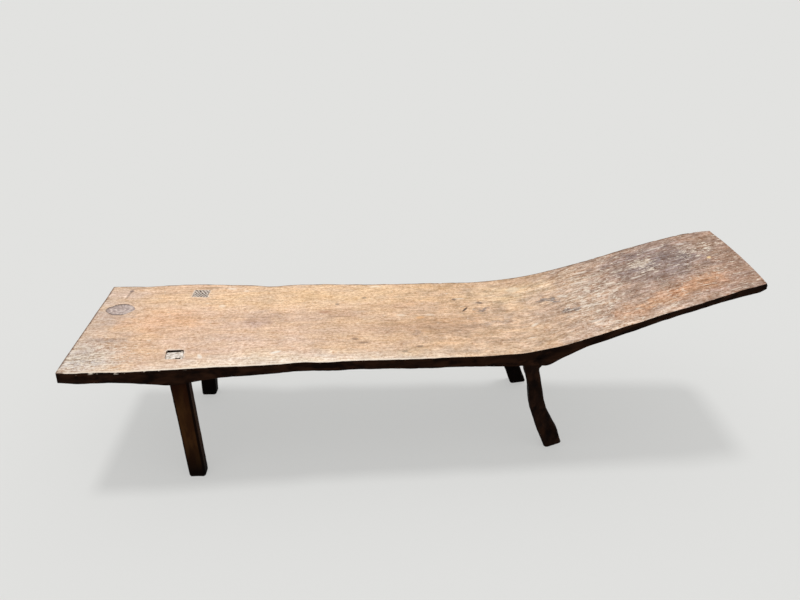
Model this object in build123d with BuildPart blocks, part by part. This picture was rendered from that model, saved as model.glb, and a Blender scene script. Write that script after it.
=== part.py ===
"""Hewn hardwood daybed: a plank with a raised headrest and two curved legs, all cut from one log.

The two straight legs at the foot end are let in: their tenons pass through the plank and are wedged
from above. A round knot sits loose-grained in its own hole near one foot corner.
X runs from the foot end to the head end, Y from the left edge to the right edge, Z up from the floor.
All sizes are in millimetres. Distances along the bed are measured from the foot end.
"""

import math
import os

from build123d import *

# ---- plank: top surface, seen from the side ----
foot_height = 437.0  # floor to top at the foot end
seat_length = 1080.0
seat_fall = 7.7  # the straight seat runs down this much
lift_length = 270.0  # the first, hardly visible turn upwards
lift_rise = 4.0
bend_length = 180.0
bend_rise = 31.0
rest_length = 330.0
rest_rise = 104.0
crown_length = 257.0
crown_rise = 64.0

# ---- plank: plan ----
end_crown = 8.0  # how far the head end bows out past its corners
foot_skew = 8.0  # the foot end isn't square: its left corner stands out this far
corner_radius = 4.0
foot_half_width = 260.0
shoulder_half_width = 261.0
shoulder_place = 280.0
waist_half_width = 241.0
waist_place = 820.0
hip_half_width = 236.0
hip_back = 70.0  # from where the bend starts, towards the foot
neck_half_width = 220.0
neck_on = 95.0  # from where the bend ends, towards the head
crown_half_width = 209.0
crown_on = 45.0  # from where the headrest starts to level off
head_half_width = 188.0

# ---- plank: thickness ----
foot_thickness = 36.0
thin_place = 700.0
thin_thickness = 28.5
thin_radius = 1500.0  # of the gentle hollow under the thinnest place
rest_thickness = 22.5
head_thickness = 23.5
flare_place = 320.0  # middle of the thick band that holds the foot legs
flare_thickness = 54.0
flare_reach = 165.0  # from the middle of the band to where it runs out
flare_edge_thickness = 35.5
knuckle_on = 106.0  # from where the bend starts to the lowest corner of the block under it
knuckle_depth = 45.0  # below the low end of the seat
knuckle_run = 128.0  # from that corner to where the headrest's own thickness starts
knuckle_run_thickness = 31.0
knuckle_radius = 30.0
knuckle_run_radius = 300.0  # of the hollow where the block runs out into the headrest
arris_radius = 2.5
under_radius = 2.5
scoop_half_width = 115.0  # the hollow under the plank between the left and right foot legs
scoop_clear = 1.0  # the hollow stops this far short of the plank's own thickness

# ---- legs let in at the foot end ----
tenon_on_left = -1.0  # from the middle of the thick band, towards the head
tenon_inset_left = 84.0  # from the plank's edge to the middle of the tenon
sole_on_left = 12.0  # from the tenon to the sole, towards the head
sole_splay_left = 52.0  # from the tenon to the sole, outwards
leg_turn_left = 4.0  # degrees about the vertical
tenon_on_right = 2.0
tenon_inset_right = 65.0
sole_on_right = -30.0
sole_splay_right = 8.0
leg_turn_right = -3.0
leg_top_width = 56.0
leg_top_depth = 45.0
leg_sole_width = 51.0
leg_sole_depth = 37.0
leg_edge_radius = 6.0
sole_wear_height = 11.0  # the sole is rounded off over this height
sole_wear_left = 8.0
sole_wear_right = 6.0
wear_turn_height = 3.5  # where the rounding turns from shallow to steep
wear_turn_share = 0.4  # of the wear that is left there
tenon_width = 45.0
tenon_depth = 40.0
tenon_spread = 6.0  # the right tenon is driven this much wider at its end
tenon_sink = 2.0  # the left tenon ends this far below the top
shoulder_let_in = 3.0  # the leg's shoulder is let this far into the plank
mortise_flare = 7.0  # the left mortise opens this much past its tenon at the top
joint_gap = 0.3

# ---- wedges ----
slip_thickness = 8.0
slip_tip = 1.2
slip_length = 38.0
kerf_wedge_thickness = 5.0
kerf_wedge_tip = 1.0
kerf_wedge_length = 46.0
kerf_wedge_depth = 32.0
kerf_turn = -42.0

# ---- knot: the stub of a branch that leans through the plank ----
knot_place = 73.0
knot_inset = 161.0  # from the plank's edge
knot_radius = 35.0
knot_lean = 42.0  # degrees from the vertical, towards the foot end
knot_taper = 6.0  # degrees
knot_reach = 90.0  # half the length of the branch that is drawn before it is trimmed

# ---- legs cut from the same log at the head end ----
root_back_left = 43.0  # from the lowest corner of the block, towards the foot
root_inset_left = 30.0
head_lean_left = 47.0  # from the root to the sole, inwards
root_back_right = 94.0
root_inset_right = 29.0
head_lean_right = -3.0
head_sole_on = 117.0  # from the root to the sole, towards the head
head_leg_depth = 38.0
root_width = 40.0
root_flare = 7.0
root_flare_height = 24.0
shin_height = 285.0
shin_on = 18.5
shin_width = 43.0
knee_height = 190.0
knee_on = 39.5
knee_width = 49.0
foot_block_height = 62.0
foot_block_on = 96.0
foot_block_width = 59.0
head_leg_chamfer = 6.0
heel_flat = 18.0  # length of sole that meets the floor
toe_lift_left = 17.0
toe_lift_right = 5.0

bend_start = seat_length + lift_length
bend_end = bend_start + bend_length
rest_end = bend_end + rest_length
bed_length = rest_end + crown_length
middle = (bed_length - foot_skew) / 2
low_point = foot_height - seat_fall
bend_start_height = low_point + lift_rise
bend_end_height = bend_start_height + bend_rise
rest_end_height = bend_end_height + rest_rise
head_height = rest_end_height + crown_rise
knuckle_place = bend_start + knuckle_on
knuckle_height = low_point - knuckle_depth
reach = bed_length  # longer than anything that it has to cut
skin = 5.0  # how far a cutter stands out past the face that it cuts
overhang = foot_skew + skin  # how far the side outline is drawn past the foot end
scoop_depth = flare_thickness - flare_edge_thickness - scoop_clear
scoop_radius = (scoop_half_width**2 + scoop_depth**2) / (2 * scoop_depth)


def along(distance):
    """X of a place that is this far from the foot end."""
    return distance - middle


def seat_height(distance):
    """Height of the straight part of the top at a distance from the foot end."""
    return foot_height - seat_fall * distance / seat_length


def blend(low_value, high_value, share):
    """A value that goes from the low one to the high one as share goes from 0 to 1."""
    return low_value + (high_value - low_value) * share


def level_section(height, place, width, depth, radius=0.0, turn=0.0):
    """A level rectangle at a height, with rounded corners if a radius is given."""
    with BuildSketch(Plane.XY.offset(height)) as outline:
        with Locations(place):
            if radius > 0:
                RectangleRounded(width, depth, radius, rotation=turn)
            else:
                Rectangle(width, depth, rotation=turn)
    return outline.sketch


def plan_edge(side, start):
    """Points along the plank's left edge, side -1, or its right edge, side 1, seen from above."""
    stations = (
        (start, foot_half_width),
        (shoulder_place, shoulder_half_width),
        (waist_place, waist_half_width),
        (bend_start - hip_back, hip_half_width),
        (bend_end + neck_on, neck_half_width),
        (rest_end + crown_on, crown_half_width),
        (bed_length - end_crown, head_half_width),
    )
    return [(along(place), side * half_width) for place, half_width in stations]


class LetInLeg:
    """One of the straight foot-end legs: the line from its sole to its tenon, and sections along it."""

    def __init__(self, tenon_on, side, tenon_inset, sole_on, sole_splay, turn):
        """Side is -1 for the left and 1 for the right."""
        tenon_place = flare_place + tenon_on
        tenon_y = side * (shoulder_half_width - tenon_inset)
        self.top_height = seat_height(tenon_place)
        self.shoulder_height = self.top_height - flare_thickness + shoulder_let_in
        self.tenon = (along(tenon_place), tenon_y)
        self.sole = (along(tenon_place + sole_on), tenon_y + side * sole_splay)
        self.turn = turn

    def section(self, height, width, depth, radius=0.0, aside=0.0, back=0.0, extra_turn=0.0):
        """A level section on the leg's line, moved aside and back in the leg's own turned directions."""
        share = height / self.top_height
        moved = Vector(aside, back).rotate(Axis.Z, self.turn)
        place = (
            blend(self.sole[0], self.tenon[0], share) + moved.X,
            blend(self.sole[1], self.tenon[1], share) + moved.Y,
        )
        return level_section(height, place, width, depth, radius, self.turn + extra_turn)

    def leg_section(self, height, inset=0.0):
        """A section of the tapering leg, drawn in by an inset all round."""
        share = height / self.shoulder_height
        return self.section(
            height,
            blend(leg_sole_width, leg_top_width, share) - 2 * inset,
            blend(leg_sole_depth, leg_top_depth, share) - 2 * inset,
            leg_edge_radius,
        )

    def body(self, clearance=0.0):
        """Sections of the leg from its worn sole up to its shoulder."""
        return [
            self.leg_section(sole_wear_height, -clearance),
            self.leg_section(self.shoulder_height + clearance, -clearance),
        ]

    def worn_end(self, wear):
        """Sections of the leg's end, rounded off by wear."""
        return [
            self.leg_section(0.0, wear),
            self.leg_section(wear_turn_height, wear * wear_turn_share),
            self.leg_section(sole_wear_height),
        ]

    def tenon_sections(self, top, spread, clearance=0.0):
        """Sections of the tenon up from the shoulder, or of its hole; it is spread most at the seat."""
        top_share = (top - self.shoulder_height) / (self.top_height - self.shoulder_height)
        wider = 2 * clearance
        top_wider = spread * top_share + wider
        return [
            self.section(self.shoulder_height, tenon_width + wider, tenon_depth + wider),
            self.section(top, tenon_width + top_wider, tenon_depth + top_wider),
        ]


left_leg = LetInLeg(tenon_on_left, -1, tenon_inset_left, sole_on_left, sole_splay_left, leg_turn_left)
right_leg = LetInLeg(
    tenon_on_right, 1, tenon_inset_right, sole_on_right, sole_splay_right, leg_turn_right
)


def slip_sections(bottom, top, clearance=0.0):
    """Sections of the slip beside the left tenon, thin at the bottom and thick at the top."""
    tip_share = (bottom - (left_leg.top_height - slip_length)) / slip_length
    top_share = (top - (left_leg.top_height - slip_length)) / slip_length
    sections = []
    for height, share in ((bottom, tip_share), (top, top_share)):
        thickness = blend(slip_tip, slip_thickness, share)
        aside = tenon_width / 2 + joint_gap + thickness / 2
        sections.append(
            left_leg.section(
                height, thickness + 2 * clearance, tenon_depth + 2 * clearance, aside=aside
            )
        )
    return sections


def kerf_sections(bottom, top, clearance=0.0):
    """Sections of the wedge in the split end of the right tenon, or of the split around it."""
    sections = []
    for height in (bottom, top):
        share = 1.0 - (right_leg.top_height - height) / kerf_wedge_depth
        thickness = blend(kerf_wedge_tip, kerf_wedge_thickness, share)
        sections.append(
            right_leg.section(
                height,
                kerf_wedge_length + 2 * clearance,
                thickness + 2 * clearance,
                extra_turn=kerf_turn,
            )
        )
    return sections


def head_leg_edge(root_place, side):
    """Points down one edge of a curved leg, drawn flat: side is -1 for its heel side, 1 for its toe side."""
    toe_slope = (head_sole_on - foot_block_on) / foot_block_height
    stations = (
        (knuckle_height - root_flare_height, 0.0, root_width),
        (shin_height, shin_on, shin_width),
        (knee_height, knee_on, knee_width),
        (foot_block_height, foot_block_on, foot_block_width),
        (-skin, head_sole_on + skin * toe_slope, foot_block_width),
    )
    return [(along(root_place + on) + side * width / 2, height) for height, on, width in stations]


# corners of the underside, drawn from the side
foot_under = (along(-overhang), seat_height(-overhang) - foot_thickness)
flare_foot = (
    along(flare_place - flare_reach),
    seat_height(flare_place - flare_reach) - flare_edge_thickness,
)
flare_low = (along(flare_place), seat_height(flare_place) - flare_thickness)
flare_seat = (
    along(flare_place + flare_reach),
    seat_height(flare_place + flare_reach) - flare_edge_thickness,
)
thin = (along(thin_place), seat_height(thin_place) - thin_thickness)
knuckle = (along(knuckle_place), knuckle_height)
knuckle_end_share = (knuckle_place + knuckle_run - bend_end) / rest_length
knuckle_end = (
    along(knuckle_place + knuckle_run),
    blend(bend_end_height, rest_end_height, knuckle_end_share) - knuckle_run_thickness,
)

# the planes that the knot is trimmed to, and the line of its branch
seat_plane = Plane(origin=(along(0), 0, foot_height), z_dir=(seat_fall, 0, seat_length))
end_under_plane = Plane(
    origin=(foot_under[0], 0, foot_under[1]),
    z_dir=(foot_under[1] - flare_foot[1], 0, flare_foot[0] - foot_under[0]),
)
knot_line = Vector(0, 0, 1).rotate(Axis.Y, -knot_lean)
knot_plane = Plane(
    origin=(along(knot_place), foot_half_width - knot_inset, seat_height(knot_place)),
    x_dir=(0, 1, 0),
    z_dir=knot_line,
)
knot_narrowing = knot_reach * math.tan(math.radians(knot_taper))


# ---- bed_block: plank, headrest and head-end legs in one piece ----
with BuildPart() as bed_block:
    with BuildSketch(Plane.XZ) as side_outline:
        with BuildLine():
            seat = Line((along(-overhang), seat_height(-overhang)), (along(seat_length), low_point))
            lift = TangentArc(seat @ 1, (along(bend_start), bend_start_height), tangent=seat % 1)
            bend = TangentArc(lift @ 1, (along(bend_end), bend_end_height), tangent=lift % 1)
            rest = TangentArc(bend @ 1, (along(rest_end), rest_end_height), tangent=bend % 1)
            crown = TangentArc(rest @ 1, (along(bed_length + skin), head_height), tangent=rest % 1)
            crown_under = TangentArc(
                (rest @ 1) - Vector(0, rest_thickness),
                (crown @ 1) - Vector(0, head_thickness),
                tangent=rest % 1,
            )
            Line(crown @ 1, crown_under @ 1)
            Line(crown_under @ 0, knuckle_end)
            Line(knuckle_end, knuckle)
            Line(knuckle, thin)
            seat_under = Line(flare_seat, thin)
            end_under = Line(foot_under, flare_foot)
            Spline(flare_foot, flare_low, flare_seat, tangents=(end_under % 1, seat_under % 0))
            Line(foot_under, seat @ 0)
        make_face()
        for corner, radius in (
            (knuckle, knuckle_radius),
            (knuckle_end, knuckle_run_radius),
            (thin, thin_radius),
        ):
            fillet(side_outline.vertices().sort_by_distance(corner)[0], radius)
    extrude(amount=reach, both=True)

    with BuildSketch(Plane.XY) as plan_outline:
        with BuildLine():
            left_edge = Spline(*plan_edge(-1, -foot_skew))
            right_edge = Spline(*plan_edge(1, 0))
            ThreePointArc(left_edge @ 1, (along(bed_length), 0), right_edge @ 1)
            Line(right_edge @ 0, left_edge @ 0)
        make_face()
        fillet(plan_outline.vertices(), corner_radius)
    extrude(amount=reach, mode=Mode.INTERSECT)

    upper_faces = bed_block.faces().filter_by(lambda face: face.normal_at().Z > 0.5)
    upper_edges = upper_faces.edges()
    rim = upper_edges.filter_by(
        lambda edge: sum(edge.is_same(other) for other in upper_edges) == 1
    )
    fillet(rim, arris_radius)

    lower_faces = bed_block.faces().filter_by(lambda face: face.normal_at().Z < -0.5)
    lower_edges = lower_faces.edges()
    lower_rim = lower_edges.filter_by(
        lambda edge: sum(edge.is_same(other) for other in lower_edges) == 1
    )
    fillet(lower_rim, under_radius)

    # the underside is hollowed in a round sweep between the left and right foot legs
    flare_line = Vector(flare_seat[0] - flare_foot[0], 0, flare_seat[1] - flare_foot[1])
    scoop_centre = Vector(flare_foot[0], 0, flare_foot[1] - scoop_clear - scoop_radius)
    with BuildSketch(Plane(origin=scoop_centre, x_dir=(0, 1, 0), z_dir=flare_line)):
        Circle(scoop_radius)
    extrude(amount=flare_line.length, mode=Mode.SUBTRACT)

    for side, root_back, root_inset, head_lean, toe_lift in (
        (-1, root_back_left, root_inset_left, head_lean_left, toe_lift_left),
        (1, root_back_right, root_inset_right, head_lean_right, toe_lift_right),
    ):
        root_place = knuckle_place - root_back
        sole_y = side * (hip_half_width - root_inset - head_lean)
        leg_plane = Plane(
            origin=(0, sole_y, 0), x_dir=(1, 0, 0), z_dir=(0, -knuckle_height, side * head_lean)
        )
        with BuildSketch(leg_plane):
            with BuildLine():
                heel = Spline(*head_leg_edge(root_place, -1))
                toe = Spline(*head_leg_edge(root_place, 1))
                root_top = knuckle_height + skin
                heel_root = (along(root_place) - root_width / 2 - root_flare, root_top)
                toe_root = (along(root_place) + root_width / 2 + root_flare, root_top)
                TangentArc(heel @ 0, heel_root, tangent=(heel % 0) * -1)
                TangentArc(toe @ 0, toe_root, tangent=(toe % 0) * -1)
                Line(heel_root, toe_root)
                Line(heel @ 1, toe @ 1)
            make_face()
        extrude(amount=head_leg_depth / 2, both=True)
        long_edges = bed_block.edges(Select.LAST).filter_by(lambda edge: edge.length > knee_height)
        chamfer(long_edges, head_leg_chamfer)

        # the sole is flat at the heel and lifts towards the toe
        heel_start = along(root_place + head_sole_on) - foot_block_width / 2
        heel_end = heel_start + heel_flat
        toe_end = heel_end + 2 * foot_block_width
        toe_rise = toe_lift * 2 * foot_block_width / (foot_block_width - heel_flat)
        with BuildSketch(Plane.XZ.offset(-sole_y)):
            with BuildLine():
                Polyline(
                    (heel_start - foot_block_width, 0),
                    (heel_end, 0),
                    (toe_end, toe_rise),
                    (toe_end, -2 * skin),
                    (heel_start - foot_block_width, -2 * skin),
                    close=True,
                )
            make_face()
        extrude(amount=head_leg_depth, both=True, mode=Mode.SUBTRACT)

    # the left mortise is tight below and opens upwards; the right one follows its spread tenon
    loft(left_leg.tenon_sections(left_leg.top_height + skin, 0.0, joint_gap), mode=Mode.SUBTRACT)
    loft(
        [
            left_leg.section(
                left_leg.shoulder_height, tenon_width + 2 * joint_gap, tenon_depth + 2 * joint_gap
            ),
            left_leg.section(
                left_leg.top_height + skin,
                tenon_width + 2 * joint_gap,
                tenon_depth + 2 * joint_gap + mortise_flare,
                back=mortise_flare / 2,
            ),
        ],
        mode=Mode.SUBTRACT,
    )
    loft(
        slip_sections(left_leg.top_height - slip_length, left_leg.top_height + skin, joint_gap),
        mode=Mode.SUBTRACT,
    )
    loft(
        right_leg.tenon_sections(right_leg.top_height + skin, tenon_spread, joint_gap),
        mode=Mode.SUBTRACT,
    )
    for leg in (left_leg, right_leg):
        loft(leg.body(joint_gap), mode=Mode.SUBTRACT)
    with Locations(knot_plane):
        Cone(
            knot_radius - knot_narrowing + joint_gap,
            knot_radius + knot_narrowing + joint_gap,
            2 * knot_reach,
            mode=Mode.SUBTRACT,
        )
bed_block.part.label = "bed_block"

# ---- left foot leg: straight, splayed, its tenon sunk a little below the seat ----
with BuildPart() as foot_leg_left:
    loft(left_leg.body())
    loft(left_leg.worn_end(sole_wear_left), ruled=True)
    loft(left_leg.tenon_sections(left_leg.top_height - tenon_sink, 0.0))
foot_leg_left.part.label = "foot_leg_left"

# ---- right foot leg: straight, its tenon split by a wedge and flush with the seat ----
with BuildPart() as foot_leg_right:
    loft(right_leg.body())
    loft(right_leg.worn_end(sole_wear_right), ruled=True)
    loft(right_leg.tenon_sections(right_leg.top_height, tenon_spread))
    loft(
        kerf_sections(
            right_leg.top_height - kerf_wedge_depth - joint_gap,
            right_leg.top_height + skin,
            joint_gap,
        ),
        mode=Mode.SUBTRACT,
    )
foot_leg_right.part.label = "foot_leg_right"

# ---- slip driven beside the left tenon ----
with BuildPart() as tenon_slip:
    loft(slip_sections(left_leg.top_height - slip_length + joint_gap, left_leg.top_height))
tenon_slip.part.label = "tenon_slip"

# ---- wedge in the end of the right tenon ----
with BuildPart() as tenon_wedge:
    loft(kerf_sections(right_leg.top_height - kerf_wedge_depth, right_leg.top_height))
tenon_wedge.part.label = "tenon_wedge"

# ---- dead knot in its hole ----
with BuildPart() as knot_plug:
    with Locations(knot_plane):
        Cone(knot_radius - knot_narrowing, knot_radius + knot_narrowing, 2 * knot_reach)
    split(bisect_by=seat_plane, keep=Keep.BOTTOM)
    split(bisect_by=end_under_plane, keep=Keep.TOP)
knot_plug.part.label = "knot_plug"

os.makedirs("parts", exist_ok=True)
for piece in (bed_block, foot_leg_left, foot_leg_right, tenon_slip, tenon_wedge, knot_plug):
    export_step(piece.part, "parts/" + piece.part.label + ".step")
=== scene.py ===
"""Looks of a hewn hardwood daybed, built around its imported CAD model.

The bed is one log: plank, raised headrest and two curved legs. Two straight legs are let in at the
foot end, and their wedged tenons show in the seat. Lengths are in metres unless a name says mm.
"""

import math

import bpy
import numpy as np
from mathutils import Matrix, Vector
from mathutils.bvhtree import BVHTree


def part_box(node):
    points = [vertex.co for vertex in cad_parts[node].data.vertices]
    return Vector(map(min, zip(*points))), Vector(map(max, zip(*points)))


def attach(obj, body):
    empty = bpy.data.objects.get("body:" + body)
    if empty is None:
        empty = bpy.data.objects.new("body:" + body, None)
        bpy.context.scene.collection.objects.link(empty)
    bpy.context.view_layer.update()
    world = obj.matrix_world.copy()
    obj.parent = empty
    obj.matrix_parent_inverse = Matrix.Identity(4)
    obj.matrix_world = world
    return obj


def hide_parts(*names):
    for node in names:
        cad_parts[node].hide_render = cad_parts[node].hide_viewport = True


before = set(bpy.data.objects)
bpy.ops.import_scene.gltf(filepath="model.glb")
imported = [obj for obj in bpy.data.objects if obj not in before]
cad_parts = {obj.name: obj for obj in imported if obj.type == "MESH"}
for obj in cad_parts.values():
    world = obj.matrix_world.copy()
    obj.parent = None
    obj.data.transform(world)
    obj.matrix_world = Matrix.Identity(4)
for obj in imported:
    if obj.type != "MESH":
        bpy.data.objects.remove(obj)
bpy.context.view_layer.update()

bl_info = {
    "name": "Hewn daybed",
    "version": (1, 0, 0),
    "blender": (4, 5, 0),
    "location": "View3D > Sidebar > Daybed",
    "description": "Hewn one-log daybed with let-in foot legs, its finishes and its stage",
    "category": "Add Mesh",
}

MM = 0.001
BED_LOW, BED_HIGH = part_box("bed_block")
BED_LENGTH = BED_HIGH.x - BED_LOW.x
FREE_LINE = -0.130  # Y of a line along the bed that meets no leg, hole or hollow
LEFT, RIGHT = -1, 1
FOOT_LEGS = (("foot_leg_left", LEFT), ("foot_leg_right", RIGHT))
SHARP_DEGREES = 38  # faces that meet at less than this are shaded as one


# ---- colours and nodes ----


def colour(code):
    """Linear RGBA of an sRGB hex colour such as C8A27D."""
    srgb = np.array([int(code[i : i + 2], 16) for i in (0, 2, 4)]) / 255
    linear = np.where(srgb <= 0.04045, srgb / 12.92, ((srgb + 0.055) / 1.055) ** 2.4)
    return (*linear.tolist(), 1.0)


def add(tree, kind, inputs=(), **settings):
    """Adds a node and returns its outputs.

    Inputs go in order or by socket name, and each is a value or an output to link.
    """
    node = tree.nodes.new("ShaderNode" + kind)
    for name, value in settings.items():
        setattr(node, name, value)
    for name, value in inputs.items() if isinstance(inputs, dict) else enumerate(inputs):
        if isinstance(value, bpy.types.NodeSocket):
            tree.links.new(value, node.inputs[name])
        else:
            node.inputs[name].default_value = value
    return node.outputs


# ---- numpy shapes ----


def columns(*values):
    """Arrays side by side, as the last axis of one array."""
    return np.stack(values, axis=-1)


def waves(points, size, seed, count=12):
    """Smooth noise from about -1 to 1: a sum of sine waves in random directions, about size long.

    The wave lengths run from 0.6 to 1.6 times size, and the phases are random but seeded.
    """
    random = np.random.default_rng(seed)
    direction = random.normal(size=(count, points.shape[-1]))
    direction /= np.linalg.norm(direction, axis=1, keepdims=True)
    turns = 2 * np.pi / (size * random.uniform(0.6, 1.6, (count, 1)))
    phase = random.uniform(0, 2 * np.pi, count)
    return np.sin(points @ (direction * turns).T + phase).sum(axis=-1) * math.sqrt(2 / count) * 0.6


def smooth_step(low, high, value):
    """0 up to low, 1 from high on, and a cubic ease between them."""
    share = np.clip((value - low) / (high - low), 0, 1)
    return share * share * (3 - 2 * share)


def bell(value, middle, reach):
    """1 at the middle, and it falls off as e to the minus square of the distance over the reach."""
    return np.exp(-(((value - middle) / reach) ** 2))


def rounded(points, low, high, radius):
    """Points of a box's surface moved onto the same box with rounded edges.

    A point's core is the point clipped to the box less the radius all round. The point goes to
    its core plus the radius times the direction from the core to the point.
    """
    core = np.clip(points, low + radius, high - radius)
    away = points - core
    reach = np.linalg.norm(away, axis=-1, keepdims=True)
    return core + radius * away / np.maximum(reach, 1e-9)


def lattice_skin(counts):
    """Lattice indices of the outside of a block of cells, and its outward quads.

    A lattice point is on the outside where any of its three indices is the first or the last.
    """
    shape = tuple(count + 1 for count in counts)
    index = np.indices(shape)
    last = np.array(counts).reshape(3, 1, 1, 1)
    outside = ((index == 0) | (index == last)).any(axis=0)
    numbers = np.full(shape, -1)
    numbers[outside] = np.arange(outside.sum())
    quads = []
    for axis in range(3):
        for end in (0, -1):
            side = np.take(numbers, end, axis=axis)
            faces = columns(side[:-1, :-1], side[1:, :-1], side[1:, 1:], side[:-1, 1:]).reshape(-1, 4)
            outward = (end == -1) != (axis == 1)
            quads.append(faces if outward else faces[:, ::-1])
    return np.argwhere(outside), np.concatenate(quads)


def carried_rings(rings):
    """Points and faces of a closed skin through a stack of rings, with a pole at each end.

    Each ring is joined to the next by quads, and the end rings to their own middle by triangles.
    """
    rows, around = rings.shape[:2]
    numbers = np.arange(rows * around).reshape(rows, around)
    after = np.roll(numbers, -1, axis=1)
    quads = columns(numbers[:-1], after[:-1], after[1:], numbers[1:]).reshape(-1, 4)
    first, last = np.full((2, around), ((rows * around,), (rows * around + 1,)))
    start = columns(after[0], numbers[0], first)
    end = columns(numbers[-1], after[-1], last)
    points = np.concatenate((rings.reshape(-1, 3), [rings[0].mean(axis=0), rings[-1].mean(axis=0)]))
    return points, quads.tolist() + start.tolist() + end.tolist()


def raised(flat, height):
    """Level outlines as rings in space, each lifted to its own height."""
    return np.dstack((flat, np.broadcast_to(height[:, None], flat.shape[:2])))


def turned(points, degrees):
    """Rows of level points turned about the origin, by one angle or by one for each row.

    X is the cosine times X less the sine times Y, and Y the sine times X plus the cosine times Y.
    """
    angle = np.radians(np.reshape(degrees, (-1, 1)))
    x, y = points[..., 0], points[..., 1]
    return columns(np.cos(angle) * x - np.sin(angle) * y, np.sin(angle) * x + np.cos(angle) * y)


def chamfered(width, depth, chamfers, count):
    """Outlines of rectangles with cut corners, one for each row of width and depth.

    Rays leave the middle at even angles, and each stops at the nearest of eight lines: the four
    sides and the four chamfers, which go anticlockwise from the corner at +X +Y.
    """
    angle = np.linspace(0, 2 * np.pi, count, endpoint=False) + np.pi / count
    ray = columns(np.cos(angle), np.sin(angle))
    width, depth = (np.asarray(size, float).reshape(-1, 1) for size in (width, depth))
    near = np.minimum(width / 2 / np.abs(ray[:, 0]), depth / 2 / np.abs(ray[:, 1]))
    for chamfer, (x, y) in zip(chamfers, ((1, 1), (-1, 1), (-1, -1), (1, -1))):
        towards = np.maximum(ray @ (x, y), 1e-6)
        near = np.minimum(near, ((width + depth) / 2 - chamfer) / towards)
    return near[..., None] * ray


def scallops(along, across, size, seed):
    """Adze marks of this length and width: shallow bowls, 0 in the middle and 1 at the ridges.

    Along and across are counted in bowls, pushed about by smooth noise, and every other row is
    moved half a bowl along. The depth is twice the sum of the squares of the distances from the
    middle of the bowl that the point is in.
    """
    length, width = size
    places = columns(along, across)
    row = across / width + 0.35 * waves(places, 3 * width, seed)
    column = along / length + 0.5 * (np.floor(row) % 2) + 0.35 * waves(places, 2 * length, seed + 1)
    return 2 * ((row % 1 - 0.5) ** 2 + (column % 1 - 0.5) ** 2)


# ---- meshes ----


def new_mesh(name, points, faces):
    """A new object at the origin with this mesh."""
    mesh = bpy.data.meshes.new(name)
    mesh.from_pydata(points.tolist(), [], faces if isinstance(faces, list) else faces.tolist())
    mesh.update()
    piece = bpy.data.objects.new(name, mesh)
    bpy.context.scene.collection.objects.link(piece)
    return piece


def joined(name, skins):
    """Several closed skins as one object."""
    points, faces, start = [], [], 0
    for skin_points, skin_faces in skins:
        points.append(skin_points)
        faces += [[number + start for number in face] for face in skin_faces]
        start += len(skin_points)
    return new_mesh(name, np.concatenate(points), faces)


def cut(piece, tool, operation="DIFFERENCE"):
    """Cuts the tool out of the piece, or joins it on, and removes the tool."""
    change = piece.modifiers.new(operation.title(), "BOOLEAN")
    change.operation, change.object, change.solver = operation, tool, "EXACT"
    graph = bpy.context.evaluated_depsgraph_get()
    result = bpy.data.meshes.new_from_object(piece.evaluated_get(graph), depsgraph=graph)
    piece.modifiers.remove(change)
    if len(result.polygons) == 0:
        raise RuntimeError(f"{piece.name}: {operation.lower()} left nothing")
    piece.data = result
    bpy.data.objects.remove(tool)


def vertex_points(piece):
    """The piece's vertices as rows of X, Y, Z."""
    values = np.zeros(len(piece.data.vertices) * 3)
    piece.data.vertices.foreach_get("co", values)
    return values.reshape(-1, 3)


def attribute(piece, name, values):
    """Stores one number or one vector for each vertex."""
    kind, field = ("FLOAT", "value") if values.ndim == 1 else ("FLOAT_VECTOR", "vector")
    layer = piece.data.attributes.new(name, kind, "POINT")
    layer.data.foreach_set(field, values.astype(np.float32).ravel())


def finish_piece(piece, material, node):
    """Smooths the shading up to an angle, and says what the piece is made of and stands for."""
    piece.data.materials.clear()
    piece.data.materials.append(material)
    piece.data.shade_smooth()
    piece.data.set_sharp_from_angle(angle=math.radians(SHARP_DEGREES))
    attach(piece, "root")
    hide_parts(node)


# ---- what the CAD model says ----


def crossing(node, height, side=0):
    """Lowest and highest X and Y where a CAD node's edges cross a height, on one side or both."""
    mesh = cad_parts[node].data
    points = vertex_points(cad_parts[node])
    pairs = np.zeros(len(mesh.edges) * 2, int)
    mesh.edges.foreach_get("vertices", pairs)
    start, end = points[pairs[0::2]], points[pairs[1::2]]
    over = (start[:, 2] - height) * (end[:, 2] - height) < 0
    start, end = start[over], end[over]
    share = (height - start[:, 2]) / (end[:, 2] - start[:, 2])
    found = start[:, :2] + share[:, None] * (end - start)[:, :2]
    if side:
        found = found[found[:, 1] * side > 0]
    return found.min(axis=0), found.max(axis=0)


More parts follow.
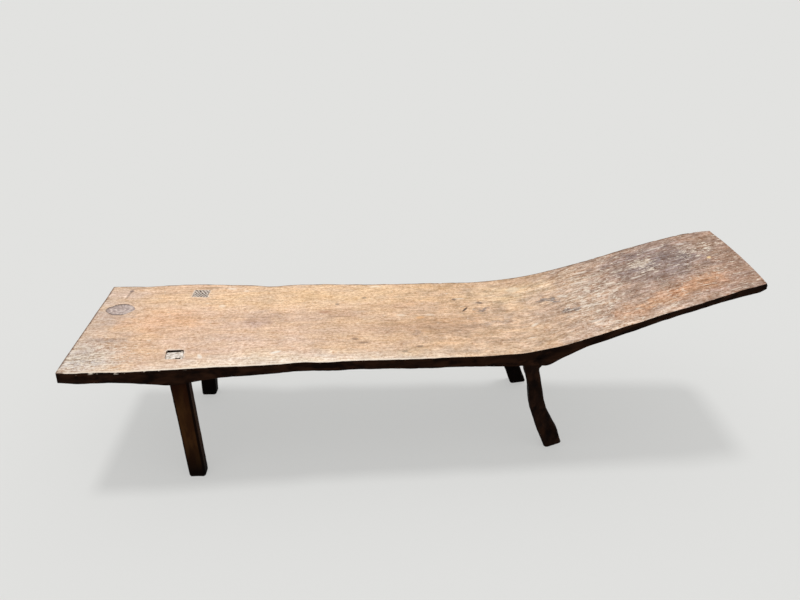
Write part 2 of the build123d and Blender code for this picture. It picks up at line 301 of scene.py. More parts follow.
class BedProfile:
    """The plank's outline, read from the CAD bed block by rays at stations along it."""

    def __init__(self):
        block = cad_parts["bed_block"]
        self.tree = BVHTree.FromObject(block, bpy.context.evaluated_depsgraph_get())
        inset = 14 * MM
        self.stations = np.linspace(inset, BED_LENGTH - inset, 260)
        self.rows = np.array([self.section(BED_LOW.x + station) for station in self.stations]).T
        foot, head = (row[0] - row[1] / 2 for row in (self.rows[:, 0], self.rows[:, -1]))
        reach = 0.93 * self.rows[3:, (0, -1)].min()
        self.across = np.linspace(-reach, reach, 17)
        self.foot_xs = [self.hit((BED_LOW.x - 1, y, foot), (1, 0, 0)).x for y in self.across]
        self.head_xs = [self.hit((BED_HIGH.x + 1, y, head), (-1, 0, 0)).x for y in self.across]

    def hit(self, start, direction):
        """The point where a ray first meets the bed block."""
        place = self.tree.ray_cast(Vector(start), Vector(direction))[0]
        if place is None:
            raise RuntimeError(f"no surface from {tuple(start)}")
        return place

    def section(self, x):
        """Height of the top, thickness, depth of the hollow, and the two half-widths at an X."""
        top = self.hit((x, 0, 1), (0, 0, -1)).z
        under = self.hit((x, FREE_LINE, -1), (0, 0, 1)).z
        while under < top - 0.09:  # a leg's foot is in the way
            under = self.hit((x, FREE_LINE, under + MM), (0, 0, 1)).z
        hollow = self.hit((x, 0, -1), (0, 0, 1)).z - under
        halfway = (top + under) / 2
        left = -self.hit((x, -1, halfway), (0, 1, 0)).y
        right = self.hit((x, 1, halfway), (0, -1, 0)).y
        return top, top - under, hollow, left, right

    def read(self, row, stations, blur):
        """One row at any stations, straight between and past its ends, averaged over a blur."""
        step = self.stations[1] - self.stations[0]
        half = int(blur / step / 2)
        padded = np.pad(self.rows[row], half, mode="reflect", reflect_type="odd")
        smooth = np.convolve(padded, np.ones(2 * half + 1) / (2 * half + 1), mode="valid")
        inside = np.interp(stations, self.stations, smooth)
        before = np.minimum(stations - self.stations[0], 0) * (smooth[1] - smooth[0]) / step
        after = np.maximum(stations - self.stations[-1], 0) * (smooth[-1] - smooth[-2]) / step
        return inside + before + after

    def top(self, stations):
        """Height of the top along the middle line."""
        return self.read(0, stations, 0.05)

    def thickness(self, stations):
        """Thickness beside the hollow."""
        return self.read(1, stations, 0.025)

    def hollow(self, stations):
        """Depth of the hollow under the middle line, between the foot legs."""
        return np.maximum(self.read(2, stations, 0.02), 0)

    def half_width(self, stations, side):
        """Distance from the middle line to the left edge or the right edge."""
        return np.where(side < 0, self.read(3, stations, 0.05), self.read(4, stations, 0.05))

    def foot_end(self, across):
        """X of the foot end at distances across the bed."""
        return np.interp(across, self.across, self.foot_xs)

    def head_end(self, across):
        """X of the head end at distances across the bed."""
        return np.interp(across, self.across, self.head_xs)


profile = BedProfile()


# ---- settings ----


def span(name, description, mm):
    """A length setting with its default in mm."""
    return bpy.props.FloatProperty(name=name, description=description, default=mm * MM, unit="LENGTH")


def lean(name, description, degrees):
    """An angle setting with its default in degrees."""
    default = math.radians(degrees)
    return bpy.props.FloatProperty(name=name, description=description, default=default, subtype="ANGLE")


def amount(name, description, default, most=1.0):
    """A setting from 0 up, without a unit."""
    return bpy.props.FloatProperty(name=name, description=description, default=default, min=0, max=most)


def tone(name, description, code):
    """A colour setting with an sRGB hex default."""
    return bpy.props.FloatVectorProperty(
        name=name, description=description, default=colour(code), size=4, subtype="COLOR", min=0, max=1
    )


class DaybedShape(bpy.types.PropertyGroup):
    """Sizes of the hand work on the plank, which the CAD solids leave off or keep plain."""

    arris: span("Worn arris", "Radius of the plank's upper edges", 2.2)
    under_arris: span("Under arris", "Radius of the plank's lower edges", 2.0)
    corner: span("Corner radius", "Radius of the plank's four corners, seen from above", 4)
    hewing: span("Hewing depth", "How deep the adze marks are under the plank and on its sides", 1.3)
    edge_wander: span("Edge wander", "How far the long edges wander from a fair line", 1.6)
    foot_round: span("Foot rounding", "Extra radius of the lower edge at the foot end", 1)
    head_round: span("Head rounding", "Extra radius of the lower edge at the head end", 10)
    head_lean: span("Head lean", "How far the head end's face leans out at its lower edge", 13)
    foot_lean: span("Foot lean", "How far the foot end's face leans out at its lower edge", 4)
    head_wear: span("Head wear", "What is worn off the head end", 8)
    extra: span("Extra thickness", "How far the plank reaches below the CAD underside", 1.5)
    cell: span("Cell", "Length of the plank's mesh cells", 5.8)


class DaybedLegs(bpy.types.PropertyGroup):
    """Sizes of the let-in foot legs, their wedges and the head legs."""

    top_width: span("Top width", "Foot leg under its shoulder, along the bed", 58)
    top_depth: span("Top depth", "Foot leg under its shoulder, across the bed", 45)
    sole_width: span("Sole width", "Foot leg just above its worn end, along", 54)
    sole_depth: span("Sole depth", "Foot leg just above its worn end, across", 41)
    tenon_width: span("Tenon width", "Tenon along the bed", 45)
    tenon_depth: span("Tenon depth", "Tenon across the bed", 40)
    tenon_spread: span("Tenon spread", "Extra width of the right tenon's end", 8)
    foot_set: span("Foot set", "How far the foot legs' soles stand off the CAD legs", 4)
    tenon_along: span("Tenon along", "How far the left tenon stands off its leg's line, along", -4.8)
    tenon_across: span("Tenon across", "How far the left tenon stands off its leg's line, across", -3.5)
    tenon_skew: amount("Tenon skew", "How far out of square the left tenon is", 0.12)
    mortise_flare: span("Mortise flare", "Gap behind the left tenon at the seat", 7)
    slip: span("Slip thickness", "Slip beside the left tenon, at the seat", 8)
    left_turn: lean("Left turn", "Left leg about the vertical", 4)
    right_turn: lean("Right turn", "Right leg about the vertical", -3)
    shoulder_down: span("Shoulder", "Foot leg's shoulder below the seat", 51)
    sole_wear: span("Sole wear", "Rounding of the foot legs' soles", 2)
    waist: span("Waist", "How much slimmer a foot leg is halfway up", 1.5)
    twist: lean("Twist", "Left sole turned against its shoulder", -6)
    notch: span("Notch", "Broken corner of the left tenon", 8)
    slip_length: span("Slip length", "Slip from its tip to the seat", 38)
    wedge_length: span("Wedge length", "Wedge across the right tenon", 46)
    wedge_thickness: span("Wedge thickness", "Wedge at the seat", 5)
    wedge_depth: span("Wedge depth", "Wedge from its tip to the seat", 32)
    wedge_turn: lean("Wedge turn", "Wedge across the tenon", -42)
    root_swell: span("Root swell", "Head leg's extra width where it meets the plank", 8)
    calf_swell: span("Calf swell", "Left head leg's extra width above its heel", 5)
    heel_set: span("Heel set", "How far the head legs' feet stand off the CAD legs", 5)
    heel_flat: span("Heel", "Length of the head leg's sole that meets the floor", 18)
    toe_lift_left: span("Left toe", "Lift of the left head leg's toe", 17)
    toe_lift_right: span("Right toe", "Lift of the right head leg's toe", 5)


class DaybedFinish(bpy.types.PropertyGroup):
    """Main colours of the woods."""

    seat_pale: tone("Rubbed seat", "Pale scratches, flecks and worn edges of the seat", "F2E4D2")
    smoked: tone("Smoked wood", "Dark sides, underside and legs cut from the log", "1D0F08")
    smoked_pale: tone("Smoked streaks", "Browner streaks in the smoked wood", "3A2316")
    # nearly black: soot, and painted shade on the bed's right half and the right foot leg
    soot_and_shade: tone("Soot", "Nearly black places and corners", "080403")
    leg: tone("Leg wood", "Reddish wood of the let-in legs", "280F06")
    leg_worn: tone("Worn leg", "Lighter worn places of the let-in legs", "402812")
    end_pale: tone("Pale end grain", "End of the left tenon and its slip", "FBF2E8")
    end_dark: tone("Pale end grain, pores", "Pores in the left tenon and its slip", "B4A494")
    grey_pale: tone("Grey end grain", "End of the right tenon and its wedge", "B8A698")
    grey_dark: tone("Grey end grain, pores", "Pores in the right tenon and its wedge", "4C3E38")
    knot: tone("Knot", "Pale rings of the dead knot", "D8C6BC")
    knot_dark: tone("Knot rings", "Dark rings of the dead knot", "A8948E")


class DaybedStage(bpy.types.PropertyGroup):
    """Floor and light."""

    floor: tone("Floor", "Matt floor", "E2E2E0")
    sky: amount("Sky", "Even light from all round, where 1 lights a level face fully", 0.6)
    lamp: amount("Lamp", "Soft light from above, where pi lights a level face fully", 1.26, 10)
    lamp_spread: lean("Lamp spread", "Width of the lamp in the sky, for shadows with a soft edge", 10)
    lamp_to_foot: lean("Lamp to foot", "Lamp's lean towards the foot end", 4)
    lamp_to_right: lean("Lamp to right", "Lamp's lean towards the right side", 6)
    shadow: amount("Shadow", "How dark the floor's shadow looks", 0.42)


# ---- shapes ----

EDGE_STEPS = np.array((0, 1, 2.2, 3.6, 5.5, 8.5, 12)) * MM  # lattice lines crowd together at an edge
DEPTH_STEPS = np.array((0, 1, 2.2, 3.8, 6, 9)) * MM
CAP_SCALES = np.array((0.12, 0.32, 0.52, 0.7, 0.85, 0.94))  # rings that close a leg's flat end
NARROW = 240 * MM  # half-width that the lines across are spaced for
SCOOP_HALF_WIDTH = 115 * MM  # hollow under the plank, between the foot legs
SEAT_CLEAR = 8 * MM  # how far a cutter stands out of the seat
FIT_GAP = 0.5 * MM  # gap round what is let in
KERF_GAP = 0.25 * MM
# length and width of the adze marks
ADZE_UNDER = (0.052, 0.034)
ADZE_SIDE = (0.046, 0.022)
ADZE_HEAD_LEG = (0.06, 0.03)
ADZE_FOOT_LEG = (0.07, 0.036)

# swells and hollows that the adze left in the left edge, -1, and the right edge, 1: station and
# outward in mm
EDGE_SWELLS = {
    -1: (
        (16, -3.5), (39, 2.5), (97, -5.5), (163, -3.5), (235, -2.5), (305, -4.5), (416, -9),
        (480, -5), (551, -7), (622, -3.5), (710, -10), (799, -3.5), (907, -6), (1014, -6.5),
        (1099, -3), (1159, -8.5), (1235, -4.5), (1304, -2.5), (1356, -2.5), (1461, -3), (1485, -4),
        (1521, 2), (1556, 4), (1625, 3), (1694, -1.5), (1763, 0), (1831, -1.5), (1898, 4),
        (1966, 2), (2033, 1), (2067, -1.5),
    ),
    1: (
        (10, 2), (98, -3), (140, -9), (182, -1.5), (316, 5.5), (394, 1), (479, -1.5), (565, -16),
        (672, 2), (780, 3.5), (909, -5), (1040, -3.5), (1142, -2), (1215, -6.5), (1306, -8.5),
        (1390, 4), (1452, 5.5), (1577, -1.5), (1648, -3.5), (1774, -2), (1856, 1.5), (1939, 5.5),
        (2022, 11.5), (2105, 5.5),
    ),
}

# swells and hollows under the plank: station, reach and downward in mm
UNDER_SWELLS = (
    (95, 60, 3.5),
    (250, 110, 3),
    (620, 250, 3),
    (1270, 60, -2),
    (1472, 28, 4),
    (1560, 40, -2),
    (1760, 60, -1.5),
    (1940, 60, -2.5),
    (2095, 30, 2),
)

# swells and hollows in the head legs: leg -1 left or 1 right, flank -1 to the foot or 1 to the head,
# then height, reach and outward in mm
HEAD_LEG_SWELLS = (
    (-1, -1, 338, 22, 2.5),
    (-1, 1, 385, 25, 2),
    (-1, 1, 200, 58, 2.6),
    (-1, -1, 85, 30, 1.5),
    (-1, 1, 74, 26, 2.6),
    (-1, 1, 16, 14, -2.5),
    (1, -1, 20, 30, 1),
    (1, 1, 25, 25, -1),
)


def line_places(length, cell):
    """Lattice lines from 0 to length: close together at both ends, and a cell apart between."""
    inner = np.linspace(EDGE_STEPS[-1], length - EDGE_STEPS[-1], round(length / cell))[1:-1]
    return np.concatenate((EDGE_STEPS, inner, length - EDGE_STEPS[::-1]))


def edge_line(station, side, shape):
    """Distance from the middle line to a long edge: the CAD edge with swells and slow waves.

    The swells run straight from one place to the next, averaged over 50 mm.
    """
    line = profile.half_width(station, side)
    line += shape.edge_wander * waves(columns(station, side), 0.16, 3)
    for which, swells in EDGE_SWELLS.items():
        at, out = np.array(swells).T * MM
        shifts = np.array((-25, -8, 8, 25)) * MM
        line += np.interp(station[..., None] + shifts, at, out).mean(axis=-1) * (side == which)
    return line


def plank_shape(shape):
    """Skin of the plank and headrest.

    A block of lattice cells is measured in station along the bed, distance across and depth below
    the top. Its sides follow the profile read from the CAD model, its edges are rounded by
    rounded(), its faces get adze marks, and its two ends are moved onto the CAD end lines. Each
    point is then hung from the top at its station.
    """
    stations = line_places(BED_LENGTH, shape.cell)
    shares = line_places(2 * NARROW, shape.cell) / NARROW - 1
    middle = np.array((1, 2)) / 3
    share_down = np.concatenate((np.zeros(len(DEPTH_STEPS)), middle, np.ones(len(DEPTH_STEPS))))
    step_down = np.concatenate((DEPTH_STEPS, DEPTH_STEPS[-1] * (1 - 2 * middle), -DEPTH_STEPS[::-1]))
    index, faces = lattice_skin((len(stations) - 1, len(shares) - 1, len(share_down) - 1))
    station, share = stations[index[:, 0]], shares[index[:, 1]]

    side = np.where(share < 0, -1.0, 1.0)
    half = edge_line(station, side, shape)
    to_end = np.minimum(station, BED_LENGTH - station)
    from_end = np.minimum(to_end, shape.corner)
    half -= shape.corner - np.sqrt(shape.corner**2 - (shape.corner - from_end) ** 2)
    across = share * half
    bowl = np.maximum(1 - (across / SCOOP_HALF_WIDTH) ** 2, 0)
    thick = profile.thickness(station) - profile.hollow(station) * bowl
    thick += shape.extra + 0.8 * MM * waves(columns(station, across), 0.12, 5)
    for at, reach, out in np.array(UNDER_SWELLS) * MM:
        thick += out * bell(station, at, reach)
    down = share_down[index[:, 2]] * thick + step_down[index[:, 2]]

    along_side = columns(station, side)
    chips = smooth_step(0.9, 1.3, waves(along_side, 0.03, 7))
    by_end = 1 - smooth_step(6 * MM, 26 * MM, to_end)
    under = shape.under_arris + by_end * np.where(station < 1, shape.foot_round, shape.head_round)
    radius = np.where(down < thick / 2, shape.arris * (1 + 1.1 * chips), under)
    radius *= 1 + 0.3 * waves(along_side, 0.07, 9)
    zero = np.zeros_like(half)
    high = columns(zero + BED_LENGTH, half, thick)
    points = rounded(columns(station, across, down), columns(zero, -half, zero), high, radius[:, None])

    on_top = 1 - smooth_step(0, 4 * MM, points[:, 2])
    on_under = 1 - smooth_step(0, 4 * MM, thick - points[:, 2])
    on_side = smooth_step(-4 * MM, 0, np.abs(points[:, 1]) - half) * (1 - on_top) * (1 - on_under)
    marks = scallops(points[:, 0], points[:, 1], ADZE_UNDER, 11)
    side_marks = scallops(points[:, 0], points[:, 2], ADZE_SIDE, 13)
    points[:, 2] -= on_under * shape.hewing * marks
    points[:, 1] -= on_side * side * shape.hewing * 0.7 * side_marks
    worn = 0.5 * waves(points[:, :2], 0.11, 15) + 0.22 * waves(points[:, :2], 0.035, 17)
    points[:, 2] += on_top * MM * (worn + 0.25 * marks)

    along, across, down = points.T
    x = BED_LOW.x + along
    x += (1 - smooth_step(0, 0.5, along)) * (profile.foot_end(across) - BED_LOW.x)
    head_shift = profile.head_end(across) - BED_HIGH.x - shape.head_wear
    x += smooth_step(BED_LENGTH - 0.35, BED_LENGTH, along) * head_shift
    leaning = smooth_step(BED_LENGTH - 0.05, BED_LENGTH, along) * shape.head_lean
    leaning -= (1 - smooth_step(0, 0.05, along)) * shape.foot_lean
    x += leaning * np.clip(down / thick, 0, 1)
    return columns(x, across, profile.top(x - BED_LOW.x) - down), faces


def head_leg_shape(side, settings):
    """Skin of one curved head leg, from its sole to inside the plank.

    Its middle and its width at each height are read from the CAD model. Each level outline is
    chamfered, its flanks swell by bell curves of the height, and the root swells out with the
    square of the height. Near the floor each point is lifted by the slope of the sole, which is
    flat at the heel.
    """
    measured = np.linspace(25 * MM, 378 * MM, 60)
    limits = [crossing("bed_block", z, side) for z in measured]
    low, high = (np.array(ends) for ends in zip(*limits))
    shaft = np.linspace(8 * MM, 410 * MM, 84)
    height = np.concatenate((np.zeros(len(CAP_SCALES)), (1.5 * MM, 4 * MM), shaft))
    scale = np.concatenate((CAP_SCALES, (0.975, 0.992), np.ones(84)))[:, None, None]

    def at_heights(values):
        slope = (values[1] - values[0]) / (measured[1] - measured[0])
        return np.interp(height, measured, values) + np.minimum(height - measured[0], 0) * slope

    middle = columns(*(at_heights((low[:, i] + high[:, i]) / 2) for i in (0, 1)))
    width, depth = (at_heights(high[:, i] - low[:, i]) for i in (0, 1))
    if side == LEFT:
        middle[:, 0] -= settings.heel_set * (1 - smooth_step(0.03, 0.14, height))
        width += settings.calf_swell * bell(height, 0.1, 0.05)
    else:
        middle[:, 1] -= 1.7 * settings.heel_set * (1 - smooth_step(0.03, 0.3, height))
    for leg, flank, at, reach, out in HEAD_LEG_SWELLS:
        swell = out * MM * bell(height, at * MM, reach * MM) * (leg == side)
        middle[:, 0] += flank * swell / 2
        width += swell
    root = settings.root_swell * np.clip((height - 0.29) / 0.095, 0, 1) ** 2
    level = chamfered(width + root, depth + root, (5 * MM,) * 4, 72)
    rings = raised(level * scale + middle[:, None, :], height)
    out = level / np.linalg.norm(level, axis=-1, keepdims=True)
    around = np.arctan2(level[..., 1], level[..., 0]) * 0.025
    rough = 0.9 * scallops(rings[..., 2], around, ADZE_HEAD_LEG, 21 + side) - 0.3
    rings[..., :2] += out * MM * (rough + 0.4 * waves(rings, 0.05, 23 + side))[..., None] * (scale == 1)
    toe = settings.toe_lift_left if side == LEFT else settings.toe_lift_right
    heel_end = low[0, 0] + settings.heel_flat
    slope = np.clip((rings[..., 0] - heel_end) / (high[0, 0] - heel_end), 0, 1.2)
    rings[..., 2] += toe * slope * np.clip(1 - rings[..., 2] / 0.07, 0, 1)
    return carried_rings(rings)


class LetInLeg:
    """A straight foot leg: its line is read from its CAD node, and its sizes from the settings."""

    def __init__(self, node, side, settings):
        self.side, self.settings = side, settings
        box_low, box_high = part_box(node)
        self.end = box_high.z
        self.seat = float(profile.top(np.array([(box_low.x + box_high.x) / 2 - BED_LOW.x]))[0])
        self.heights = (20 * MM, box_high.z - 8 * MM)
        self.middles = [sum(crossing(node, height)) / 2 for height in self.heights]
        self.shoulder = self.seat - settings.shoulder_down
        self.turn = math.degrees(settings.left_turn if side == LEFT else settings.right_turn)

    def left_tenon(self, height):
        """1 at heights in the left leg's tenon, which was made a little aside, and 0 elsewhere."""
        return (height > self.shoulder + 0.7 * MM) * float(self.side == LEFT)

    def middle(self, height):
        """The leg's middle at these heights."""
        s = self.settings
        share = ((height - self.heights[0]) / (self.heights[1] - self.heights[0]))[:, None]
        middle = self.middles[0] + share * (self.middles[1] - self.middles[0])
        aside = (1, -0.5) if self.side == LEFT else (-0.7, -1.6)
        middle += s.foot_set * (1 - share) * aside
        return middle + self.left_tenon(height)[:, None] * (s.tenon_along, s.tenon_across)

    def placed(self, level, height):
        """Level outlines turned with the leg and moved onto its line, the left tenon's also skewed."""
        below = np.clip(1 - height / self.shoulder, 0, 1)
        twist = math.degrees(self.settings.twist) if self.side == LEFT else 0
        flat = turned(level, self.turn + twist * below)
        skew = self.settings.tenon_skew * self.left_tenon(height)[:, None]
        flat = columns(flat[..., 0] - skew * flat[..., 1], flat[..., 1] - skew / 3 * flat[..., 0])
        return raised(flat + self.middle(height)[:, None, :], height)

    def sizes(self, height, gap):
        """Width along and depth across at these heights: the leg tapers, and the tenon is narrower."""
        s = self.settings
        share = np.clip(height / self.shoulder, 0, 1)
        width = s.sole_width + (s.top_width - s.sole_width) * share - s.waist * np.sin(np.pi * share)
        depth = s.sole_depth + (s.top_depth - s.sole_depth) * share
        spread = s.tenon_spread if self.side == RIGHT else 0
        wider = spread * np.clip((height - self.shoulder) / s.shoulder_down, 0, 1.2)
        is_tenon = height > self.shoulder + gap
        width = np.where(is_tenon, s.tenon_width + wider, width) + 2 * gap
        depth = np.where(is_tenon, s.tenon_depth + wider, depth) + 2 * gap
        return width, depth

    def hole(self, gap):
        """Cutter for the leg's hole: the leg's own outline with a gap round it, carried past the seat.

        The left mortise opens behind its tenon, so its far side moves out as the height grows.
        """
        s = self.settings
        top = np.linspace(self.shoulder + 2 * gap, self.seat + SEAT_CLEAR, 9)
        height = np.concatenate(((self.shoulder - 0.06, self.shoulder + gap), top))
        width, depth = self.sizes(height, gap)
        corner = 4 * MM if self.side == LEFT else 2 * MM
        level = chamfered(width, depth, (2 * MM, corner, 2 * MM, 2 * MM), 88)
        rings = self.placed(level, height)
        if self.side == LEFT:
            opening = s.mortise_flare * np.clip((height - self.shoulder) / s.shoulder_down, 0, 1.2)
            far = smooth_step(0, depth[:, None] / 4, level[..., 1])
            left = 1 + 0.1 * smooth_step(0, s.tenon_width / 2, -level[..., 0])
            rings[..., 1] += opening[:, None] * far * left
            slip = (s.slip + gap) * np.clip(1 - (self.seat - height) / s.slip_length, 0, 1.2)
            beside = smooth_step(s.tenon_width * 0.42, s.tenon_width * 0.5, level[..., 0])
            rings[..., 0] += slip[:, None] * beside
        rings[..., :2] += 0.35 * MM * waves(rings, 0.012, 31)[..., None] * (level / 0.025)
        return carried_rings(rings)

    def skin(self):
        """The leg from its worn sole to the end of its tenon.

        The sole is drawn in near the floor like a quarter of a circle. The flats are lightly
        scalloped, and the tenon's end is a little rough.
        """
        s = self.settings
        wear = np.array((0, 0.8, 2, 3.6, 5.6, 8, 11)) * MM
        shaft = np.linspace(17 * MM, self.shoulder - MM, 76)
        tenon = np.linspace(self.shoulder + 0.8 * MM, self.end - 0.6 * MM, 12)
        cap = np.ones(len(CAP_SCALES))
        height = np.concatenate((0 * cap, wear, shaft, (self.shoulder,), tenon, self.end * cap))
        width, depth = self.sizes(height, 0)
        corners = (2.5, 7, 3, 4) if self.side == LEFT else (2.5,) * 4
        leg = chamfered(width, depth, np.array((5.5, 5, 5, 6)) * MM, 88)
        tongue = chamfered(width, depth, np.array(corners) * MM, 88)
        is_tenon = (height > self.shoulder)[:, None]
        level = np.where(is_tenon[..., None], tongue, leg)
        wear_share = np.clip(1 - height / wear[-1], 0, 1)
        drawn_in = s.sole_wear * (1 - np.sqrt(1 - wear_share**2))
        around = np.arctan2(level[..., 1], level[..., 0]) * 0.03
        up = np.broadcast_to(height[:, None], around.shape)
        rough = 0.8 * scallops(up, around, ADZE_FOOT_LEG, 33 + self.side) - 0.4
        rough = MM * rough * ~is_tenon - drawn_in[:, None]
        level = level * (1 + rough[..., None] / np.linalg.norm(level, axis=-1, keepdims=True))
        if self.side == LEFT:
            notch = smooth_step(5 * MM, 8 * MM, level[..., 0]) * (level[..., 1] < -s.tenon_depth / 3)
            level[..., 1] += s.notch * notch * is_tenon
        sides = np.ones(len(height) - 2 * len(cap))
        scale = np.concatenate((CAP_SCALES, sides, CAP_SCALES[::-1]))
        rings = self.placed(level * scale[:, None, None], height)
        on_end = (height >= self.end)[:, None]
        rings[..., 2] += on_end * MM * (0.3 * waves(rings[..., :2], 0.008, 35) - 0.25)
        return carried_rings(rings)

    def kerf_wedge(self, gap=0.0):
        """The wedge in the right tenon, or with a gap the cutter for its kerf."""
        s = self.settings
        top = self.seat - 0.3 * MM + (SEAT_CLEAR if gap else 0)
        bottom = self.seat - s.wedge_depth - gap
        growth = (s.wedge_thickness - MM) / s.wedge_depth
        depth = (MM + 2 * gap, MM + 2 * gap + growth * (top - bottom))

        def placed(level, height):
            return self.placed(turned(level, math.degrees(s.wedge_turn)), height)

        return small_wedge(placed, (s.wedge_length + 2 * gap,) * 2, depth, bottom, top)

    def slip_wedge(self):
        """The slip beside the left tenon, which grows away from it as it rises."""
        s = self.settings
        top = self.seat - 0.6 * MM
        bottom = self.seat - s.slip_length

        def placed(level, height):
            share = (height - bottom) / (top - bottom)
            aside = s.tenon_width / 2 + 0.4 * MM + share * s.slip / 2
            return self.placed(level + columns(aside, 0 * aside)[:, None, :], height)

        return small_wedge(placed, (0.8 * MM, s.slip), (s.tenon_depth,) * 2, bottom, top)


def small_wedge(placed, width, depth, bottom, top):
    """A wedge driven down: a rectangle that grows from its tip to its full size at the top.

    Width and depth give the tip's size and the top's size. Placed moves level outlines at their
    heights to where they stand. The top is a little bruised.
    """
    shaft = np.linspace(bottom, top - 0.5 * MM, 14)
    height = np.concatenate((np.full(3, bottom), shaft, np.full(5, top)))
    share = (height - bottom) / (top - bottom)
    width, depth = (tip + (full - tip) * share for tip, full in (width, depth))
    scale = np.concatenate(((0.2, 0.6, 0.9), np.ones(14), (0.96, 0.8, 0.55, 0.3, 0.1)))
    level = chamfered(width, depth, (0.6 * MM,) * 4, 64) * scale[:, None, None]
    rings = placed(level, height)
    rings[..., 2] += (height >= top)[:, None] * 0.2 * MM * (waves(rings[..., :2], 0.006, 41) - 1)
    return carried_rings(rings)


class Knot:
    """The dead knot: its middle and half-sizes at a height are read from its CAD node."""

    def __init__(self):
        self.low, self.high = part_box("knot_plug")
        self.heights = np.array((self.high.z - 29 * MM, self.high.z - 4 * MM))
        ends = [crossing("knot_plug", height) for height in self.heights]
        self.middles = np.array([(a + b) / 2 for a, b in ends])
        self.halves = np.array([(b - a) / 2 for a, b in ends])

    def rings(self, heights, gap, scale):
        """Ovals at these heights, a little pointed along the bed.

        Half-length and half-width follow the CAD node. The length is multiplied by the cosine of
        the angle, the width by its sine to the power 1.5, and both by smooth noise round the rim.
        """
        share = ((heights - self.heights[0]) / (self.heights[1] - self.heights[0]))[:, None]
        middle = self.middles[0] + share * (self.middles[1] - self.middles[0]) + (3.5 * MM, 0)
        half = self.halves[0] + share * (self.halves[1] - self.halves[0]) + gap
        angle = np.linspace(0, 2 * np.pi, 112, endpoint=False)
        oval = columns(1.03 * np.cos(angle), np.sin(angle) * np.abs(np.sin(angle)) ** 0.5)
        uneven = 1 + 0.025 * waves(oval, 1.1, 51)
        level = half[:, None, :] * oval * uneven[:, None] * scale[:, None, None]
        return raised(level + middle[:, None, :], heights)

    def hole(self, gap):
        """Cutter for the knot's hole."""
        heights = np.linspace(self.low.z - 12 * MM, self.high.z + SEAT_CLEAR, 12)
        return carried_rings(self.rings(heights, gap, np.ones(12)))

    def skin(self):
        """The knot, with a top that lies just under the seat and is a little uneven."""
        cap = np.ones(len(CAP_SCALES))
        bottom, top = self.low.z + MM, self.high.z
        heights = np.concatenate((bottom * cap, np.linspace(bottom, top - 0.8 * MM, 10), top * cap))
        rings = self.rings(heights, 0, np.concatenate((CAP_SCALES, np.ones(10), CAP_SCALES[::-1])))
        level = profile.top(rings[..., 0] - BED_LOW.x) - top - 0.6 * MM
        on_top = (heights >= top)[:, None]
        rings[..., 2] += on_top * (level + 0.4 * MM * waves(rings[..., :2], 0.014, 53))
        return carried_rings(rings)


# ---- materials ----


def empty_material(name):
    """An empty material and its node tree."""
    material = bpy.data.materials.new(name)
    material.use_nodes = True
    material.node_tree.nodes.clear()
    return material, material.node_tree


def wood_surface(tree, base, roughness, specular, relief=None, strength=0.5):
    """The shader and the output, with grooves half a millimetre deep where there is a relief."""
    look = {"Base Color": base, "Roughness": roughness, "Specular IOR Level": specular}
    if relief is not None:
        grooves = {"Height": relief, "Strength": strength, "Distance": 0.5 * MM}
        look["Normal"] = add(tree, "Bump", grooves)[0]
    add(tree, "OutputMaterial", {"Surface": add(tree, "BsdfPrincipled", look)[0]})


def lumps(
    tree, place, size, seed, low=0.3, high=0.7, detail=3.0, fineness=0.6, bottom=0.0, top=1.0, bend=0.0
):
    """Noise whose lumps are this long, in mm, along the grain and across it.

    What is under low becomes bottom and what is over high becomes top. Detail adds smaller and
    smaller lumps, and fineness is how strong each of them is beside the last.
    """
    scale = (1000 / size[0], 1000 / size[1], 1000 / size[-1])
    stretched = add(tree, "Mapping", {"Vector": place, "Location": (seed, seed, 0), "Scale": scale})[0]
    look = {"Vector": stretched, "Scale": 1.0, "Detail": detail, "Roughness": fineness, "Distortion": bend}
    return add(tree, "MapRange", (add(tree, "TexNoise", look)["Fac"], low, high, bottom, top))[0]


def threads(tree, place, size, seed, width):
    """Thin wandering lines, where noise of this size in mm passes through its middle value."""
    drift = lumps(tree, place, size, seed, 0.0, 1.0, detail=2.0, fineness=0.5, bend=0.6)
    away = add(tree, "Math", (drift, 0.5), operation="SUBTRACT")[0]
    away = add(tree, "Math", (away,), operation="ABSOLUTE")[0]
    return add(tree, "MapRange", (away, width, 0.0))[0]


def spot(tree, place, middle, reach, turn=0.0, edge=1.0, top=1.0):
    """An oval patch, from top inside to 0 at its rim.

    Middle and reach are in mm, along the bed and across it, and turn is in degrees. Edge is the
    share of the reach over which the patch fades.
    """
    middle, reach = (middle[0] * MM, middle[1] * MM, 0), (reach[0] * MM, reach[1] * MM, 1)
    mapped = (place, middle, (0, 0, math.radians(turn)), reach)
    oval = add(tree, "Mapping", mapped, vector_type="TEXTURE")[0]
    fade = add(tree, "TexGradient", (oval,), gradient_type="SPHERICAL")["Fac"]
    return add(tree, "MapRange", (fade, 0.0, edge, 0.0, top), interpolation_type="SMOOTHSTEP")[0]


def coated(tree, under, over, *shares):
    """A colour with a coat of another over it, as thick as the product of the shares."""
    share = 1.0
    for next_share in shares:
        share = add(tree, "Math", (share, next_share), operation="MULTIPLY")[0]
    return add(tree, "Mix", {0: share, 6: under, 7: over}, data_type="RGBA")[2]


def shaded(tree, base, *patterns, channels=(1.0, 1.0, 1.0)):
    """A colour made lighter and darker: times 1 plus the sum of each pattern by its strength.

    Channels are how strongly red, green and blue follow.
    """
    light = 0.0
    for pattern, strength in patterns:
        light = add(tree, "Math", (pattern, strength, light), operation="MULTIPLY_ADD")[0]
    factor = add(tree, "VectorMath", (light, channels, (1.0, 1.0, 1.0)), operation="MULTIPLY_ADD")[0]
    return add(tree, "VectorMath", (base, factor), operation="MULTIPLY")[0]


